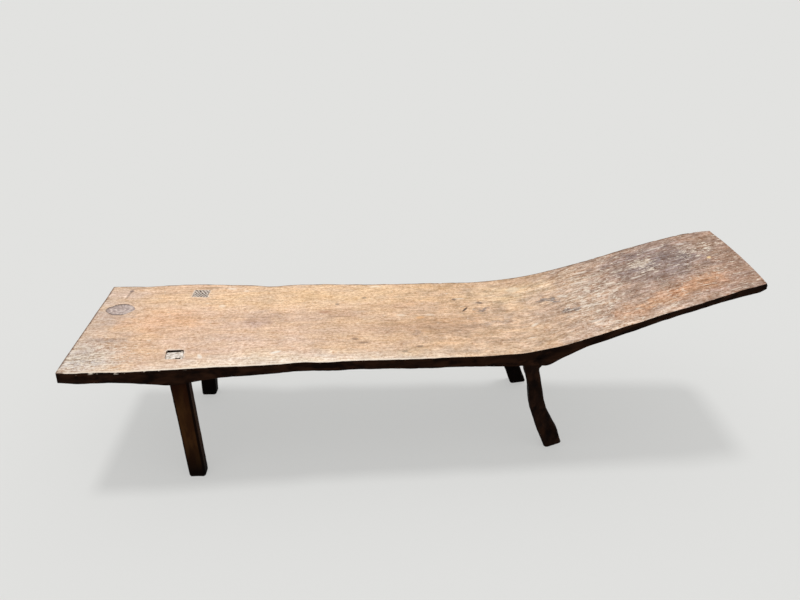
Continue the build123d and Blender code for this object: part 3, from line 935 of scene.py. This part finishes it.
def warped(tree, place, reaches):
    """The place pushed about by ragged noise, once for each reach. Its lumps are about 70 mm long."""
    ragged = {"Vector": place, "Scale": 14.0, "Detail": 5.0, "Roughness": 0.65}
    push = (add(tree, "TexNoise", ragged)["Color"], (0.5, 0.5, 0.5))
    push = add(tree, "VectorMath", push, operation="SUBTRACT")[0]
    moves = ((push, reach, place) for reach in reaches)
    return (add(tree, "VectorMath", move, operation="MULTIPLY_ADD")[0] for move in moves)


# the seat's ground colour along the bed: station in mm and colour. Over the headrest it darkens,
# partly as patina and partly as painted shade on the tilted headrest
SEAT_GROUND = (
    (8, "D8BEA8"),
    (208, "E4C0A1"),
    (480, "E3C1A6"),
    (908, "E1BFA0"),
    (1158, "DAB797"),
    (1428, "D9B99C"),
    (1608, "C7AA94"),
    (1788, "BFA28F"),
    (2117, "B29381"),
)
# stains and worn places: middle and reach in mm along and across, turn, strength, colour
SEAT_STAINS = (
    ((18, -185), (230, 125), 0, 0.9, "C2B2A5"),  # foot corner rubbed grey by dust and sandals
    ((44, 30), (110, 80), 0, 0.5, "C8AF9C"),  # grey round the knot
    ((98, -88), (80, 24), 0, 0.6, "A08C82"),  # grey streak in the foot corner
    ((690, -262), (700, 115), 0, 0.85, "F4E2CE"),  # cream along the left edge, where sleepers sit
    ((1150, -215), (330, 60), 0, 0.4, "E6CDB2"),
    ((520, -120), (330, 70), 0, 0.5, "E4C7B2"),
    ((700, 165), (700, 125), 0, 0.55, "F4CFA2"),  # warm along the right half
    ((300, 130), (220, 80), 0, 0.4, "F2CDA8"),
    ((250, 15), (210, 95), 0, 0.45, "EEBB94"),  # orange by the foot
    ((568, 0), (105, 58), 10, 0.65, "BFA293"),  # mauve stain
    ((840, 40), (90, 50), 0, 0.4, "D0A88A"),
    ((1010, 78), (95, 28), 0, 0.5, "C69E80"),  # tan under the shoulders
    ((1110, -50), (290, 78), 0, 0.65, "C39F82"),
    ((1400, 130), (200, 110), 0, 0.6, "EBCDA8"),  # yellow before the bend
    ((1071, -93), (40, 26), 0, 0.5, "A89488"),
    ((1308, 23), (34, 20), 10, 0.75, "7C7270"),  # grey-blue stains
    ((1345, -40), (60, 26), 30, 0.35, "A89A94"),
    ((1516, 30), (44, 14), -25, 0.7, "747072"),
    ((1596, -62), (38, 15), 25, 0.7, "747072"),
    ((1620, 70), (90, 70), 0, 0.4, "D9BCA0"),
    ((1720, -212), (260, 70), 0, 0.85, "E6CAB4"),  # pale along the headrest's left edge
    ((1880, 75), (225, 185), -10, 0.88, "94837E"),  # grey where the head lies
    ((1965, 60), (60, 46), 0, 0.6, "877774"),
    ((1830, 145), (60, 34), -20, 0.6, "80706E"),
    ((1842, 90), (36, 50), 20, 0.75, "DCCBB8"),  # pale cloud in the grey
    ((1935, -112), (170, 60), 6, 0.8, "D2A07C"),  # orange along the headrest's left edge
    ((1768, -150), (130, 44), 6, 0.6, "D2A07A"),
    ((2048, 205), (110, 50), 0, 0.4, "C0A08A"),
    ((2075, 40), (55, 170), 0, 0.6, "A48672"),
    ((230, -205), (90, 40), 0, 0.5, "CDAE97"),
    ((1010, 120), (70, 90), 0, 0.4, "EBC6A2"),
    ((60, -215), (120, 40), 0, 0.5, "DED2C8"),
    ((70, 205), (110, 45), 0, 0.45, "E6CAB6"),
    ((1450, 208), (150, 48), 0, 0.5, "C09C7C"),
    ((1200, 205), (180, 40), 0, 0.3, "E2BA90"),
    ((1120, 125), (80, 60), 0, 0.4, "F2CAA0"),
    ((1790, 130), (140, 50), 0, 0.3, "B49A8A"),
    ((150, -125), (170, 50), 0, 0.3, "C8A890"),
    ((2048, 125), (80, 50), 0, 0.35, "98806F"),
    ((1120, -140), (70, 60), 0, 0.35, "DCBA9A"),
)
# chisel marks, cuts and dents: middle and reach in mm along and across, turn, strength, colour
SEAT_MARKS = (
    ((80, 200), (6, 44), -4, 0.5, "836B5E"),
    ((83, 224), (12, 10), 0, 0.7, "7E6E6C"),
    ((112, 240), (46, 5), 0, 0.6, "A07C66"),
    ((353, 236), (60, 5), 0, 0.6, "8E6A54"),
    ((1242, 41), (20, 6), 52, 0.9, "443A3A"),
    ((1214, 112), (10, 10), 0, 0.65, "4E4240"),
    ((1296, 80), (15, 8), -20, 0.7, "5E5250"),
    ((874, -116), (17, 9), 0, 0.6, "6A5048"),
    ((900, -138), (24, 6), 0, 0.55, "6E5446"),
    ((810, 100), (9, 10), 0, 0.55, "7A6A64"),
    ((903, 139), (12, 8), 20, 0.6, "7A6A60"),
    ((1074, -167), (16, 8), 0, 0.6, "7A665A"),
    ((1026, -193), (14, 7), 0, 0.6, "7E6A5C"),
    ((770, 50), (28, 14), 0, 0.45, "B07C62"),
    ((1087, 0), (20, 12), 0, 0.6, "EDB884"),
    ((828, 20), (60, 4), 0, 0.5, "9A7A66"),
    ((360, -200), (50, 12), 0, 0.4, "B08E78"),
    ((1231, 115), (22, 5), 0, 0.65, "FFF2E0"),
    ((404, -190), (8, 17), 24, 0.6, "FFF8EE"),
    ((435, 224), (20, 9), 0, 0.75, "FFEEDA"),
    ((487, 207), (14, 8), 0, 0.6, "FFEAD4"),
    ((419, 107), (16, 11), 0, 0.65, "FCEAD4"),
    ((630, -178), (24, 8), 20, 0.8, "FFF6E8"),
    ((942, 216), (30, 8), 0, 0.75, "FFEFD6"),
    ((1024, 18), (22, 10), 0, 0.6, "F4E2CC"),
    ((1120, 16), (22, 9), 0, 0.6, "F4E2CC"),
    ((1425, 150), (30, 24), 0, 0.5, "F6E4CA"),
    ((1450, -88), (20, 8), 30, 0.6, "FBEEDC"),
    ((1426, -156), (22, 4), 0, 0.6, "FBEEDC"),
    ((1906, 160), (42, 5), 0, 0.75, "E8DCD2"),
    ((1990, 145), (16, 8), -20, 0.75, "E8DCD2"),
    ((1803, 20), (22, 6), 0, 0.7, "E4D8CC"),
    ((1985, 22), (30, 5), 15, 0.5, "DCCCC2"),
    ((1638, 86), (44, 6), -10, 0.8, "F0E2D2"),
    ((1656, 147), (34, 6), -12, 0.7, "F0E2D2"),
    ((1636, -62), (50, 6), -14, 0.8, "F0E2D2"),
    ((1722, 30), (18, 8), 0, 0.7, "F0E2D2"),
    ((1722, -18), (12, 9), 0, 0.75, "F0E2D2"),
    ((1669, -23), (10, 9), 0, 0.75, "F4E8DA"),
    ((1566, 36), (26, 8), -30, 0.7, "F0E2D2"),
    ((1638, -152), (24, 6), 10, 0.7, "F0E2D2"),
    ((1630, -170), (24, 5), -10, 0.6, "F0E2D2"),
    ((2032, 22), (9, 9), 0, 0.8, "FFDFA8"),
)
# places with many short whitish scratches: middle and reach in mm, turn and strength
SCRATCHED = (
    ((60, -175), (260, 120), 0, 2.0),
    ((1640, -20), (150, 190), 0, 1.9),
    ((1700, 190), (120, 40), 0, 0.5),
    ((1846, 75), (60, 80), 0, 1.7),
    ((2022, 82), (80, 70), 0, 1.8),
)


def seat_colour(tree, finish, grain, place, wavy, smudged):
    """The seat's colour, and the patterns that its relief and its edges also use.

    Ground colour and stains lie on the bare wood. Over them come a faint warm and cool drift,
    streaks, mottling, grit and fibres, then dark blotches, furrows and pores, and last the pale
    flecks, scratches and chisel marks, all sharper on the headrest and at the foot corner.
    """
    station = add(tree, "SeparateXYZ", (place,))["X"]
    ground = add(tree, "ValToRGB", (add(tree, "Math", (station, BED_LENGTH), operation="DIVIDE")[0],))
    stops = tree.nodes[-1].color_ramp.elements
    for number, (along, code) in enumerate(SEAT_GROUND):
        stop = stops[number] if number < 2 else stops.new(1.0)
        stop.position, stop.color = along * MM / BED_LENGTH, colour(code)
    seat = ground["Color"]
    for middle, reach, turn, strength, code in SEAT_STAINS:
        seat = coated(tree, seat, colour(code), spot(tree, place, middle, reach, turn, 0.8, strength))
    warm, cool = (1.02, 1.0, 0.95, 1.0), (0.985, 1.0, 1.05, 1.0)
    drift = coated(tree, warm, cool, lumps(tree, wavy, (130, 44), 3, 0.36, 0.64))
    seat = add(tree, "Mix", {0: 1.0, 6: seat, 7: drift}, data_type="RGBA", blend_type="MULTIPLY")[2]

    by_head = add(tree, "MapRange", (station, 1.36, 1.7), interpolation_type="SMOOTHSTEP")[0]
    corner = spot(tree, place, (0, -200), (260, 150), 0, 0.6)
    rough = add(tree, "Math", (by_head, corner), operation="MAXIMUM")[0]
    streaks = lumps(tree, wavy, (260, 14), 23, bottom=-1.0)
    mottle = lumps(tree, wavy, (120, 60), 29, detail=6.0, fineness=0.65, bottom=-1.0)
    patches = lumps(tree, wavy, (46, 24), 33, detail=2.0, bottom=-1.0)
    patchy = add(tree, "MapRange", (station, 0.9, 1.3, 0.08, 0.26))[0]
    seat = shaded(tree, seat, (streaks, 0.07), (mottle, 0.14), (patches, patchy))
    fibres = lumps(tree, wavy, (50, 7.5), 17, 0.36, 0.64, detail=5.0, fineness=0.75, bottom=-1.0)
    sharpness = add(tree, "MapRange", (rough, 0.0, 1.0, 0.2, 0.36))[0]
    grit = lumps(tree, grain, (11, 8), 11, 0.34, 0.66, fineness=0.8, bottom=-1.0)
    gritty = add(tree, "MapRange", (rough, 0.0, 1.0, 0.31, 0.46))[0]
    # dry fibre ends catch the light and look whiter, so blue follows more strongly than red
    seat = shaded(tree, seat, (grit, gritty), (fibres, sharpness), channels=(0.8, 1.08, 1.3))

    blotches = lumps(tree, wavy, (60, 26), 31, 0.48, 0.62, detail=6.0, fineness=0.75)
    seat = coated(tree, seat, colour("7A6254"), by_head, blotches, 0.4)
    furrows = threads(tree, wavy, (300, 26), 35, 0.014)
    broken = lumps(tree, grain, (120, 40), 36, 0.5, 0.6, detail=2.0)
    seat = coated(tree, seat, colour("8A6650"), furrows, broken, 0.45)
    pores = lumps(tree, grain, (15, 9), 37, 0.66, 0.76, detail=2.0, top=0.5)
    seat = coated(tree, seat, colour("7A5C48"), pores)

    dashes = lumps(tree, smudged, (24, 6.5), 41, 0.0, 1.0, fineness=0.75)
    dashes = add(tree, "Math", (rough, 0.042, dashes), operation="MULTIPLY_ADD")[0]
    for middle, reach, turn, strength in SCRATCHED:
        there = spot(tree, grain, middle, reach, turn, 0.7, strength)
        dashes = add(tree, "Math", (there, 0.04, dashes), operation="MULTIPLY_ADD")[0]
    flecks = add(tree, "MapRange", (dashes, 0.65, 0.685))[0]
    seat = coated(tree, seat, finish.seat_pale, flecks, 0.95)
    scratches = threads(tree, wavy, (90, 26), 47, 0.02)
    breaks = lumps(tree, grain, (40, 24), 43, 0.52, 0.58, detail=1.0)
    seat = coated(tree, seat, finish.seat_pale, scratches, breaks, by_head, 0.9)
    for middle, reach, turn, strength, code in SEAT_MARKS:
        seat = coated(tree, seat, colour(code), spot(tree, smudged, middle, reach, turn, 0.6, strength))
    return seat, station, fibres, streaks


def hewn_log_material(finish):
    """Iroko-like hardwood, hewn with an adze, smoked dark below and worn by sleepers on top.

    The seat is the bare wood, rubbed dull and smooth. Its fibres are drawn 50 mm long and 7.5 mm
    wide, and its grit 11 mm by 8 mm, as the real ones are too fine to show. Its left edge is
    rubbed pale, and its other edges get a narrow dark band. The mortises' rims are pale, as worn
    wood and as painted highlight. The rest is black-brown with soot and handling, matt and mottled,
    with browner worn places and pale chips near the rim. On the right half it is painted nearer
    black as shade, most on the faces that turn in under the bed.
    """
    material, tree = empty_material("hewn_iroko_smoked_and_worn")
    grain = add(tree, "Attribute", attribute_name="grain")["Vector"]
    edge, rim, upper = (
        add(tree, "Attribute", attribute_name=name)["Fac"] for name in ("edge", "rim", "seat")
    )
    _, across, down = add(tree, "SeparateXYZ", (grain,))
    facing_x, facing_y, upward = add(tree, "SeparateXYZ", (add(tree, "TexCoord")["Normal"],))
    reaches = (0.24, 0.12, 0.0), (0.03, 0.014, 0.0), (0.014, 0.01, 0.0)
    place, wavy, smudged = warped(tree, grain, reaches)
    seat, station, fibres, streaks = seat_colour(tree, finish, grain, place, wavy, smudged)

    uneven = lumps(tree, grain, (34, 12), 53, detail=4.0, top=5 * MM)
    from_edge = add(tree, "Math", (edge, uneven), operation="SUBTRACT")[0]
    left = add(tree, "MapRange", (across, -0.17, -0.2))[0]
    off_end = add(tree, "MapRange", (station, 0.015, 0.05))[0]
    left = add(tree, "Math", (left, off_end), operation="MULTIPLY")[0]
    rubbed = add(tree, "MapRange", (from_edge, 7 * MM, 3 * MM))[0]
    low_part = add(tree, "MapRange", (station, 1.25, 1.05))[0]
    seat = coated(tree, seat, colour("F6E8D6"), rubbed, left, low_part, 0.7)
    # a narrow dark band along the top's edges, except the left edge
    dark_edge_band = add(tree, "MapRange", (from_edge, 5 * MM, 0.0))[0]
    elsewhere = add(tree, "Math", (1.0, left), operation="SUBTRACT")[0]
    seat = coated(tree, seat, colour("5E3E2A"), dark_edge_band, elsewhere, 0.8)
    # pale rims round the mortises: worn wood, and a painted highlight where the edges catch the light
    rim_wear_and_highlight = lumps(tree, grain, (22, 16), 73, 0.4, 0.56)
    seat = coated(tree, seat, colour("F4E8DA"), rim, rim_wear_and_highlight, 0.75)

    worn = lumps(tree, wavy, (80, 18), 59, 0.4, 0.68, detail=4.0)
    smoked = coated(tree, finish.smoked, finish.smoked_pale, worn, 0.6)
    soot_and_shade_share = lumps(tree, wavy, (50, 26), 61, 0.45, 0.62)
    smoked = coated(tree, smoked, finish.soot_and_shade, soot_and_shade_share, 0.8)
    # painted shade: on the right half, which lies in the bed's shade, the smoked wood is coated nearly
    # black, most on faces that turn in under the bed
    right_half = add(tree, "MapRange", (across, 0.0, 0.1))[0]
    inward = add(tree, "MapRange", (facing_y, 0.3, 0.0, 0.4, 0.9))[0]
    smoked = coated(tree, smoked, finish.soot_and_shade, right_half, inward)
    near_top = add(tree, "MapRange", (down, 8 * MM, 4 * MM))[0]
    foot_part = add(tree, "MapRange", (station, 0.4, 0.3))[0]
    chips = lumps(tree, grain, (24, 12), 71, 0.6, 0.64)
    smoked = coated(tree, smoked, finish.seat_pale, chips, near_top, foot_part)
    below = add(tree, "MapRange", (upward, 0.0, -0.5))[0]
    smoked = coated(tree, smoked, finish.soot_and_shade, below, 0.9)

    # the seat's looks end in a worn line where it turns down, and run on into the mortises' walls
    worn_line = add(tree, "Math", (fibres, 0.15, upward), operation="MULTIPLY_ADD")[0]
    facing = add(tree, "MapRange", (worn_line, 0.55, 0.75))[0]
    wall = add(tree, "Math", (facing_x,), operation="ABSOLUTE")[0]
    wall = add(tree, "Math", (wall, rim), operation="MULTIPLY")[0]
    facing = add(tree, "Math", (facing, wall), operation="MAXIMUM")[0]
    wood = coated(tree, smoked, seat, facing, upper)
    polish = lumps(tree, grain, (50, 20), 67, bottom=0.5, top=0.72)
    relief = add(tree, "Math", (fibres, 0.5, streaks), operation="MULTIPLY_ADD")[0]
    wood_surface(tree, wood, polish, 0.02, relief)
    return material


def end_grain(tree, place, looks):
    """End grain seen from above: pores and patches, and strokes of the blade that trimmed it.

    The strokes meet in a V along the middle of the right tenon. They are drawn 11 mm apart, as the
    real ones are too fine to show.
    """
    pale, dark, strength = looks
    end = coated(tree, dark, pale, lumps(tree, place, (12, 9), 7, 0.4, 0.6, detail=4.0))
    low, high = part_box("tenon_wedge")
    x, y, _ = add(tree, "SeparateXYZ", (place,))
    aside = add(tree, "Math", (y, (low.y + high.y) / 2), operation="SUBTRACT")[0]
    aside = add(tree, "Math", (aside,), operation="ABSOLUTE")[0]
    folded = add(tree, "Math", (aside, 0.7, x), operation="MULTIPLY_ADD")[0]
    strokes = {"Vector": add(tree, "CombineXYZ", (folded, y))[0], "Scale": 29.0, "Distortion": 2.0}
    strokes = add(tree, "TexWave", {**strokes, "Detail": 1.0, "Detail Scale": 0.6})["Fac"]
    stroke = add(tree, "MapRange", (strokes, 0.45, 0.8))[0]
    end = coated(tree, end, colour("E6DCD0"), stroke, strength)
    return shaded(tree, end, (lumps(tree, place, (14, 10), 9, bottom=-1.0), 0.2))


def pale_end(finish):
    """Pale end grain of the left tenon and its slip, with faint strokes."""
    return finish.end_pale, finish.end_dark, 0.3


def grey_end(finish):
    """Grey end grain of the right tenon and its wedge, with strong strokes."""
    return finish.grey_pale, finish.grey_dark, 0.8


def leg_material(name, finish, soot_and_shade_share, end_looks):
    """Reddish hardwood leg, split and trimmed with an adze, dark with handling.

    Its faces are mottled red-brown and olive, its corners and its sole are nearly black, and the
    end of its tenon is bare end grain, marked by the tool that trimmed it. Its streaks are drawn
    9 mm wide, as the real fibres are too fine to show. The share given after the finish paints the
    sides that face in under the bed nearly black, as painted shade for a leg in the bed's shade.
    """
    material, tree = empty_material(name)
    grain = add(tree, "Attribute", attribute_name="grain")["Vector"]
    streaks = lumps(tree, grain, (70, 9), 3, 0.34, 0.66, detail=5.0, fineness=0.7)
    shaft = coated(tree, finish.leg, colour("190A05"), streaks, 0.8)
    worn = lumps(tree, grain, (90, 26), 5, 0.42, 0.6, detail=4.0)
    height = add(tree, "SeparateXYZ", (grain,))["X"]
    halfway = add(tree, "MapRange", (height, 0.36, 0.24))[0]
    shaft = coated(tree, shaft, finish.leg_worn, worn, halfway, 0.8)
    shaft = coated(tree, shaft, finish.leg_worn, halfway, 0.35)
    # nearly black towards the floor
    towards_floor = add(tree, "MapRange", (height, 0.14, 0.02))[0]
    shaft = coated(tree, shaft, finish.soot_and_shade, towards_floor, 0.95)
    coords = add(tree, "TexCoord")
    x, y, upward = add(tree, "SeparateXYZ", (coords["Normal"],))
    corner = add(tree, "Math", (x, y), operation="MULTIPLY")[0]
    corner = add(tree, "Math", (corner,), operation="ABSOLUTE")[0]
    dark = add(tree, "MapRange", (corner, 0.2, 0.4))[0]
    shaft = coated(tree, shaft, finish.soot_and_shade, dark, 0.85)
    # painted shade: the sides that face in under the bed are coated nearly black, by the share given
    inward = add(tree, "MapRange", (y, 0.3, 0.0, 0.45))[0]
    shaft = coated(tree, shaft, finish.soot_and_shade, inward, soot_and_shade_share)
    is_end = add(tree, "MapRange", (upward, 0.5, 0.8))[0]
    wood = coated(tree, shaft, end_grain(tree, coords["Object"], end_looks), is_end)
    wood_surface(tree, wood, 0.6, 0.02, streaks)
    return material


def split_wood_material(name, end_looks):
    """Split hardwood, driven in and trimmed flush: bare end grain above, dull streaks on its sides."""
    material, tree = empty_material(name)
    place = add(tree, "TexCoord")["Object"]
    rough = lumps(tree, place, (8, 8), 11, top=0.25)
    rough = add(tree, "Math", (rough, 0.6), operation="ADD")[0]
    wood_surface(tree, end_grain(tree, place, end_looks), rough, 0.05)
    return material


def knot_material(finish):
    """Dead knot: grey-mauve end grain of a branch, dull, with rings and a dark line of bark.

    The rings are drawn a quarter of its radius apart, as the real ones are too fine to show.
    Checks run out from its heart: they are threads of the angle round it.
    """
    material, tree = empty_material("dead_knot_end_grain")
    low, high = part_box("knot_plug")
    place = add(tree, "TexCoord")["Object"]
    middle, half = (low + high) / 2, (high - low) / 2
    mapped = {"Vector": place, "Location": (middle.x, middle.y, 0), "Scale": (half.x, half.y, 1)}
    heart = add(tree, "Mapping", mapped, vector_type="TEXTURE")[0]
    rings = {"Vector": heart, "Scale": 1.2, "Distortion": 6.0, "Detail": 4.0, "Detail Scale": 2.0}
    rings = add(tree, "TexWave", rings, wave_type="RINGS", rings_direction="Z")["Fac"]
    wood = coated(tree, finish.knot_dark, finish.knot, rings)
    wood = shaded(tree, wood, (lumps(tree, place, (10, 8), 3, detail=2.0, bottom=-1.0), 0.12))
    scraped = lumps(tree, place, (30, 7), 9, 0.54, 0.64)
    wood = coated(tree, wood, colour("F2E6DE"), scraped, 0.55)
    angle = add(tree, "TexGradient", (heart,), gradient_type="RADIAL")["Fac"]
    checks = threads(tree, add(tree, "CombineXYZ", (angle,))[0], (38, 1000), 5, 0.03)
    wood = coated(tree, wood, colour("5E4C48"), checks, 0.5)
    out = add(tree, "VectorMath", (heart,), operation="LENGTH")["Value"]
    bark = add(tree, "MapRange", (out, 0.9, 1.0, 0.0, 0.6))[0]
    wood = coated(tree, wood, colour("5A4840"), bark)
    wood_surface(tree, wood, 0.7, 0.05, rings, 0.4)
    return material


# ---- operators ----


class AddsPieces:
    """What the operators share."""

    bl_options = {"REGISTER", "UNDO"}


class DAYBED_OT_bed_block(AddsPieces, bpy.types.Operator):
    """Adds the plank, headrest and head legs, cut from one log, with the holes for what is let in"""

    bl_idname = "daybed.add_bed_block"
    bl_label = "Bed block"

    def execute(self, context):
        scene = context.scene
        piece = new_mesh("hewn_bed_block", *plank_shape(scene.daybed_shape))
        legs = [head_leg_shape(side, scene.daybed_legs) for side in (LEFT, RIGHT)]
        cut(piece, joined("head_legs", legs), "UNION")
        knot = Knot()
        mortises = [LetInLeg(*leg, scene.daybed_legs).hole(FIT_GAP) for leg in FOOT_LEGS]
        cut(piece, joined("holes", [knot.hole(FIT_GAP), *mortises]))

        x, y, z = vertex_points(piece).T
        station = x - BED_LOW.x
        down = profile.top(station) - z
        thick = profile.thickness(station)
        in_leg = (down > thick + 4 * MM)[:, None]
        attribute(piece, "grain", np.where(in_leg, columns(-z, y, x), columns(station, y, down)))
        attribute(piece, "seat", (down < thick / 2).astype(float))
        from_side = edge_line(station, np.where(y < 0, -1.0, 1.0), scene.daybed_shape) - np.abs(y)
        from_end = np.minimum(x - profile.foot_end(y), profile.head_end(y) - x)
        attribute(piece, "edge", np.minimum(from_side, from_end))
        above = knot.high.z + SEAT_CLEAR - 20 * MM
        rims = np.concatenate([points[points[:, 2] > above][:, :2] for points, _ in mortises])
        from_rim = np.full(len(x), 1.0)
        near = (np.abs(x - rims[:, 0].mean()) < 100 * MM) & (down < 5 * MM)
        apart = columns(x[near], y[near])[:, None, :] - rims[None]
        from_rim[near] = np.linalg.norm(apart, axis=-1).min(axis=1)
        attribute(piece, "rim", 1 - smooth_step(1.2 * MM, 5 * MM, from_rim))
        finish_piece(piece, hewn_log_material(scene.daybed_finish), "bed_block")
        return {"FINISHED"}


class DAYBED_OT_foot_legs(AddsPieces, bpy.types.Operator):
    """Adds the two straight legs, whose tenons pass through the plank"""

    bl_idname = "daybed.add_foot_legs"
    bl_label = "Foot legs"

    def execute(self, context):
        finish = context.scene.daybed_finish
        # the right leg stands in the bed's shade, so its inward sides get 0.9 of painted shade
        looks = {LEFT: (0.0, pale_end(finish)), RIGHT: (0.9, grey_end(finish))}
        for node, side in FOOT_LEGS:
            leg = LetInLeg(node, side, context.scene.daybed_legs)
            piece = new_mesh(node + "_hewn", *leg.skin())
            if side == RIGHT:
                cut(piece, new_mesh("kerf", *leg.kerf_wedge(KERF_GAP)))
            attribute(piece, "grain", vertex_points(piece)[:, ::-1])
            material = leg_material(f"hewn_hardwood_{node}", finish, *looks[side])
            finish_piece(piece, material, node)
        return {"FINISHED"}


class DAYBED_OT_wedges(AddsPieces, bpy.types.Operator):
    """Adds the slip beside the left tenon and the wedge in the right tenon"""

    bl_idname = "daybed.add_wedges"
    bl_label = "Wedges"

    def execute(self, context):
        finish = context.scene.daybed_finish
        left, right = (LetInLeg(*leg, context.scene.daybed_legs) for leg in FOOT_LEGS)
        slip = new_mesh("split_tenon_slip", *left.slip_wedge())
        wedge = new_mesh("driven_tenon_wedge", *right.kerf_wedge())
        pale = split_wood_material("split_pale_hardwood", pale_end(finish))
        grey = split_wood_material("split_grey_hardwood", grey_end(finish))
        finish_piece(slip, pale, "tenon_slip")
        finish_piece(wedge, grey, "tenon_wedge")
        return {"FINISHED"}


class DAYBED_OT_knot(AddsPieces, bpy.types.Operator):
    """Adds the dead knot near the foot corner"""

    bl_idname = "daybed.add_knot"
    bl_label = "Knot"

    def execute(self, context):
        piece = new_mesh("dead_knot", *Knot().skin())
        finish_piece(piece, knot_material(context.scene.daybed_finish), "knot_plug")
        return {"FINISHED"}


# ---- stage ----

CAMERA_PLACE = Vector((-0.1296, -1.8537, 1.5872))
CAMERA_DOWN, CAMERA_YAW, CAMERA_ROLL = (math.radians(angle) for angle in (30.3855, 2.7167, -0.3419))
CAMERA_LENS_MM = 29.7
SENSOR_MM = 36.0
FLOOR_REACH = 40.0
WHITE = (1.0, 1.0, 1.0, 1.0)


def seen_rays(tree):
    """1 for the rays that show the background: from the camera, off gloss and through glass."""
    rays = add(tree, "LightPath")
    seen = add(tree, "Math", (rays["Is Camera Ray"], rays["Is Glossy Ray"]), operation="MAXIMUM")[0]
    return add(tree, "Math", (seen, rays["Is Transmission Ray"]), operation="MAXIMUM")[0]


def floor_material(stage):
    """Matt painted studio floor, which shows no grain and no gloss.

    To the camera it is partly its own flat colour, which makes the shadow on it lighter.
    """
    material, tree = empty_material("matt_studio_floor")
    paint = {"Base Color": stage.floor, "Roughness": 1.0, "Specular IOR Level": 0.0}
    lit = add(tree, "BsdfPrincipled", paint)[0]
    flat = add(tree, "Emission", {"Color": stage.floor, "Strength": 1.0})[0]
    share = add(tree, "Math", (seen_rays(tree), 1 - stage.shadow), operation="MULTIPLY")[0]
    add(tree, "OutputMaterial", {"Surface": add(tree, "MixShader", (share, lit, flat))[0]})
    return material


class DAYBED_OT_stage(AddsPieces, bpy.types.Operator):
    """Adds the floor, the soft light and the camera"""

    bl_idname = "daybed.add_stage"
    bl_label = "Stage"

    def execute(self, context):
        scene = context.scene
        stage = scene.daybed_stage
        corners = np.array([(-1, -1, 0), (1, -1, 0), (1, 1, 0), (-1, 1, 0)]) * FLOOR_REACH
        floor = new_mesh("studio_floor", corners, [[0, 1, 2, 3]])
        floor.data.materials.append(floor_material(stage))

        world = bpy.data.worlds.new("studio_world")
        scene.world = world
        world.use_nodes = True
        tree = world.node_tree
        tree.nodes.clear()
        wall = add(tree, "Background", {"Color": stage.floor, "Strength": 1.0})[0]
        sky = add(tree, "Background", {"Color": WHITE, "Strength": stage.sky})[0]
        both = add(tree, "MixShader", (seen_rays(tree), sky, wall))[0]
        add(tree, "OutputWorld", {"Surface": both})

        sun = bpy.data.lights.new("soft_overhead", "SUN")
        sun.energy, sun.angle = stage.lamp, stage.lamp_spread
        lamp = bpy.data.objects.new("soft_overhead", sun)
        lamp.rotation_euler = (-stage.lamp_to_right, -stage.lamp_to_foot, 0)
        scene.collection.objects.link(lamp)

        lens = bpy.data.cameras.new("studio_camera")
        lens.lens, lens.sensor_width, lens.sensor_fit = CAMERA_LENS_MM, SENSOR_MM, "HORIZONTAL"
        camera = bpy.data.objects.new("studio_camera", lens)
        turns = ((-CAMERA_YAW, "Z"), (math.pi / 2 - CAMERA_DOWN, "X"), (CAMERA_ROLL, "Z"))
        yaw, pitch, roll = (Matrix.Rotation(angle, 4, axis) for angle, axis in turns)
        camera.matrix_world = Matrix.Translation(CAMERA_PLACE) @ yaw @ pitch @ roll
        scene.collection.objects.link(camera)
        scene.camera = camera
        scene.view_settings.view_transform = "Standard"
        return {"FINISHED"}


class DAYBED_PT_panel(bpy.types.Panel):
    """Lists the pieces that can be added, and their settings"""

    bl_idname = "DAYBED_PT_panel"
    bl_label = "Daybed"
    bl_space_type = "VIEW_3D"
    bl_region_type = "UI"
    bl_category = "Daybed"

    def draw(self, context):
        column = self.layout.column(align=True)
        for operator in OPERATORS:
            column.operator(operator.bl_idname)
        for name in SETTINGS:
            box = self.layout.box()
            settings = getattr(context.scene, name)
            for field in settings.bl_rna.properties.keys():
                if field not in ("rna_type", "name"):
                    box.prop(settings, field)


# ---- main ----

SETTINGS = {
    "daybed_shape": DaybedShape,
    "daybed_legs": DaybedLegs,
    "daybed_finish": DaybedFinish,
    "daybed_stage": DaybedStage,
}
OPERATORS = (
    DAYBED_OT_bed_block,
    DAYBED_OT_foot_legs,
    DAYBED_OT_wedges,
    DAYBED_OT_knot,
    DAYBED_OT_stage,
)
CLASSES = (*SETTINGS.values(), *OPERATORS, DAYBED_PT_panel)


def register():
    """Registers the settings, the operators and the panel."""
    for part in CLASSES:
        bpy.utils.register_class(part)
    for name, settings in SETTINGS.items():
        setattr(bpy.types.Scene, name, bpy.props.PointerProperty(type=settings))


def unregister():
    """Undoes register."""
    for name in SETTINGS:
        delattr(bpy.types.Scene, name)
    for part in reversed(CLASSES):
        bpy.utils.unregister_class(part)


def main():
    """Makes every piece and the stage."""
    register()
    bpy.ops.daybed.add_bed_block()
    bpy.ops.daybed.add_foot_legs()
    bpy.ops.daybed.add_wedges()
    bpy.ops.daybed.add_knot()
    bpy.ops.daybed.add_stage()


if __name__ == "__main__":
    main()
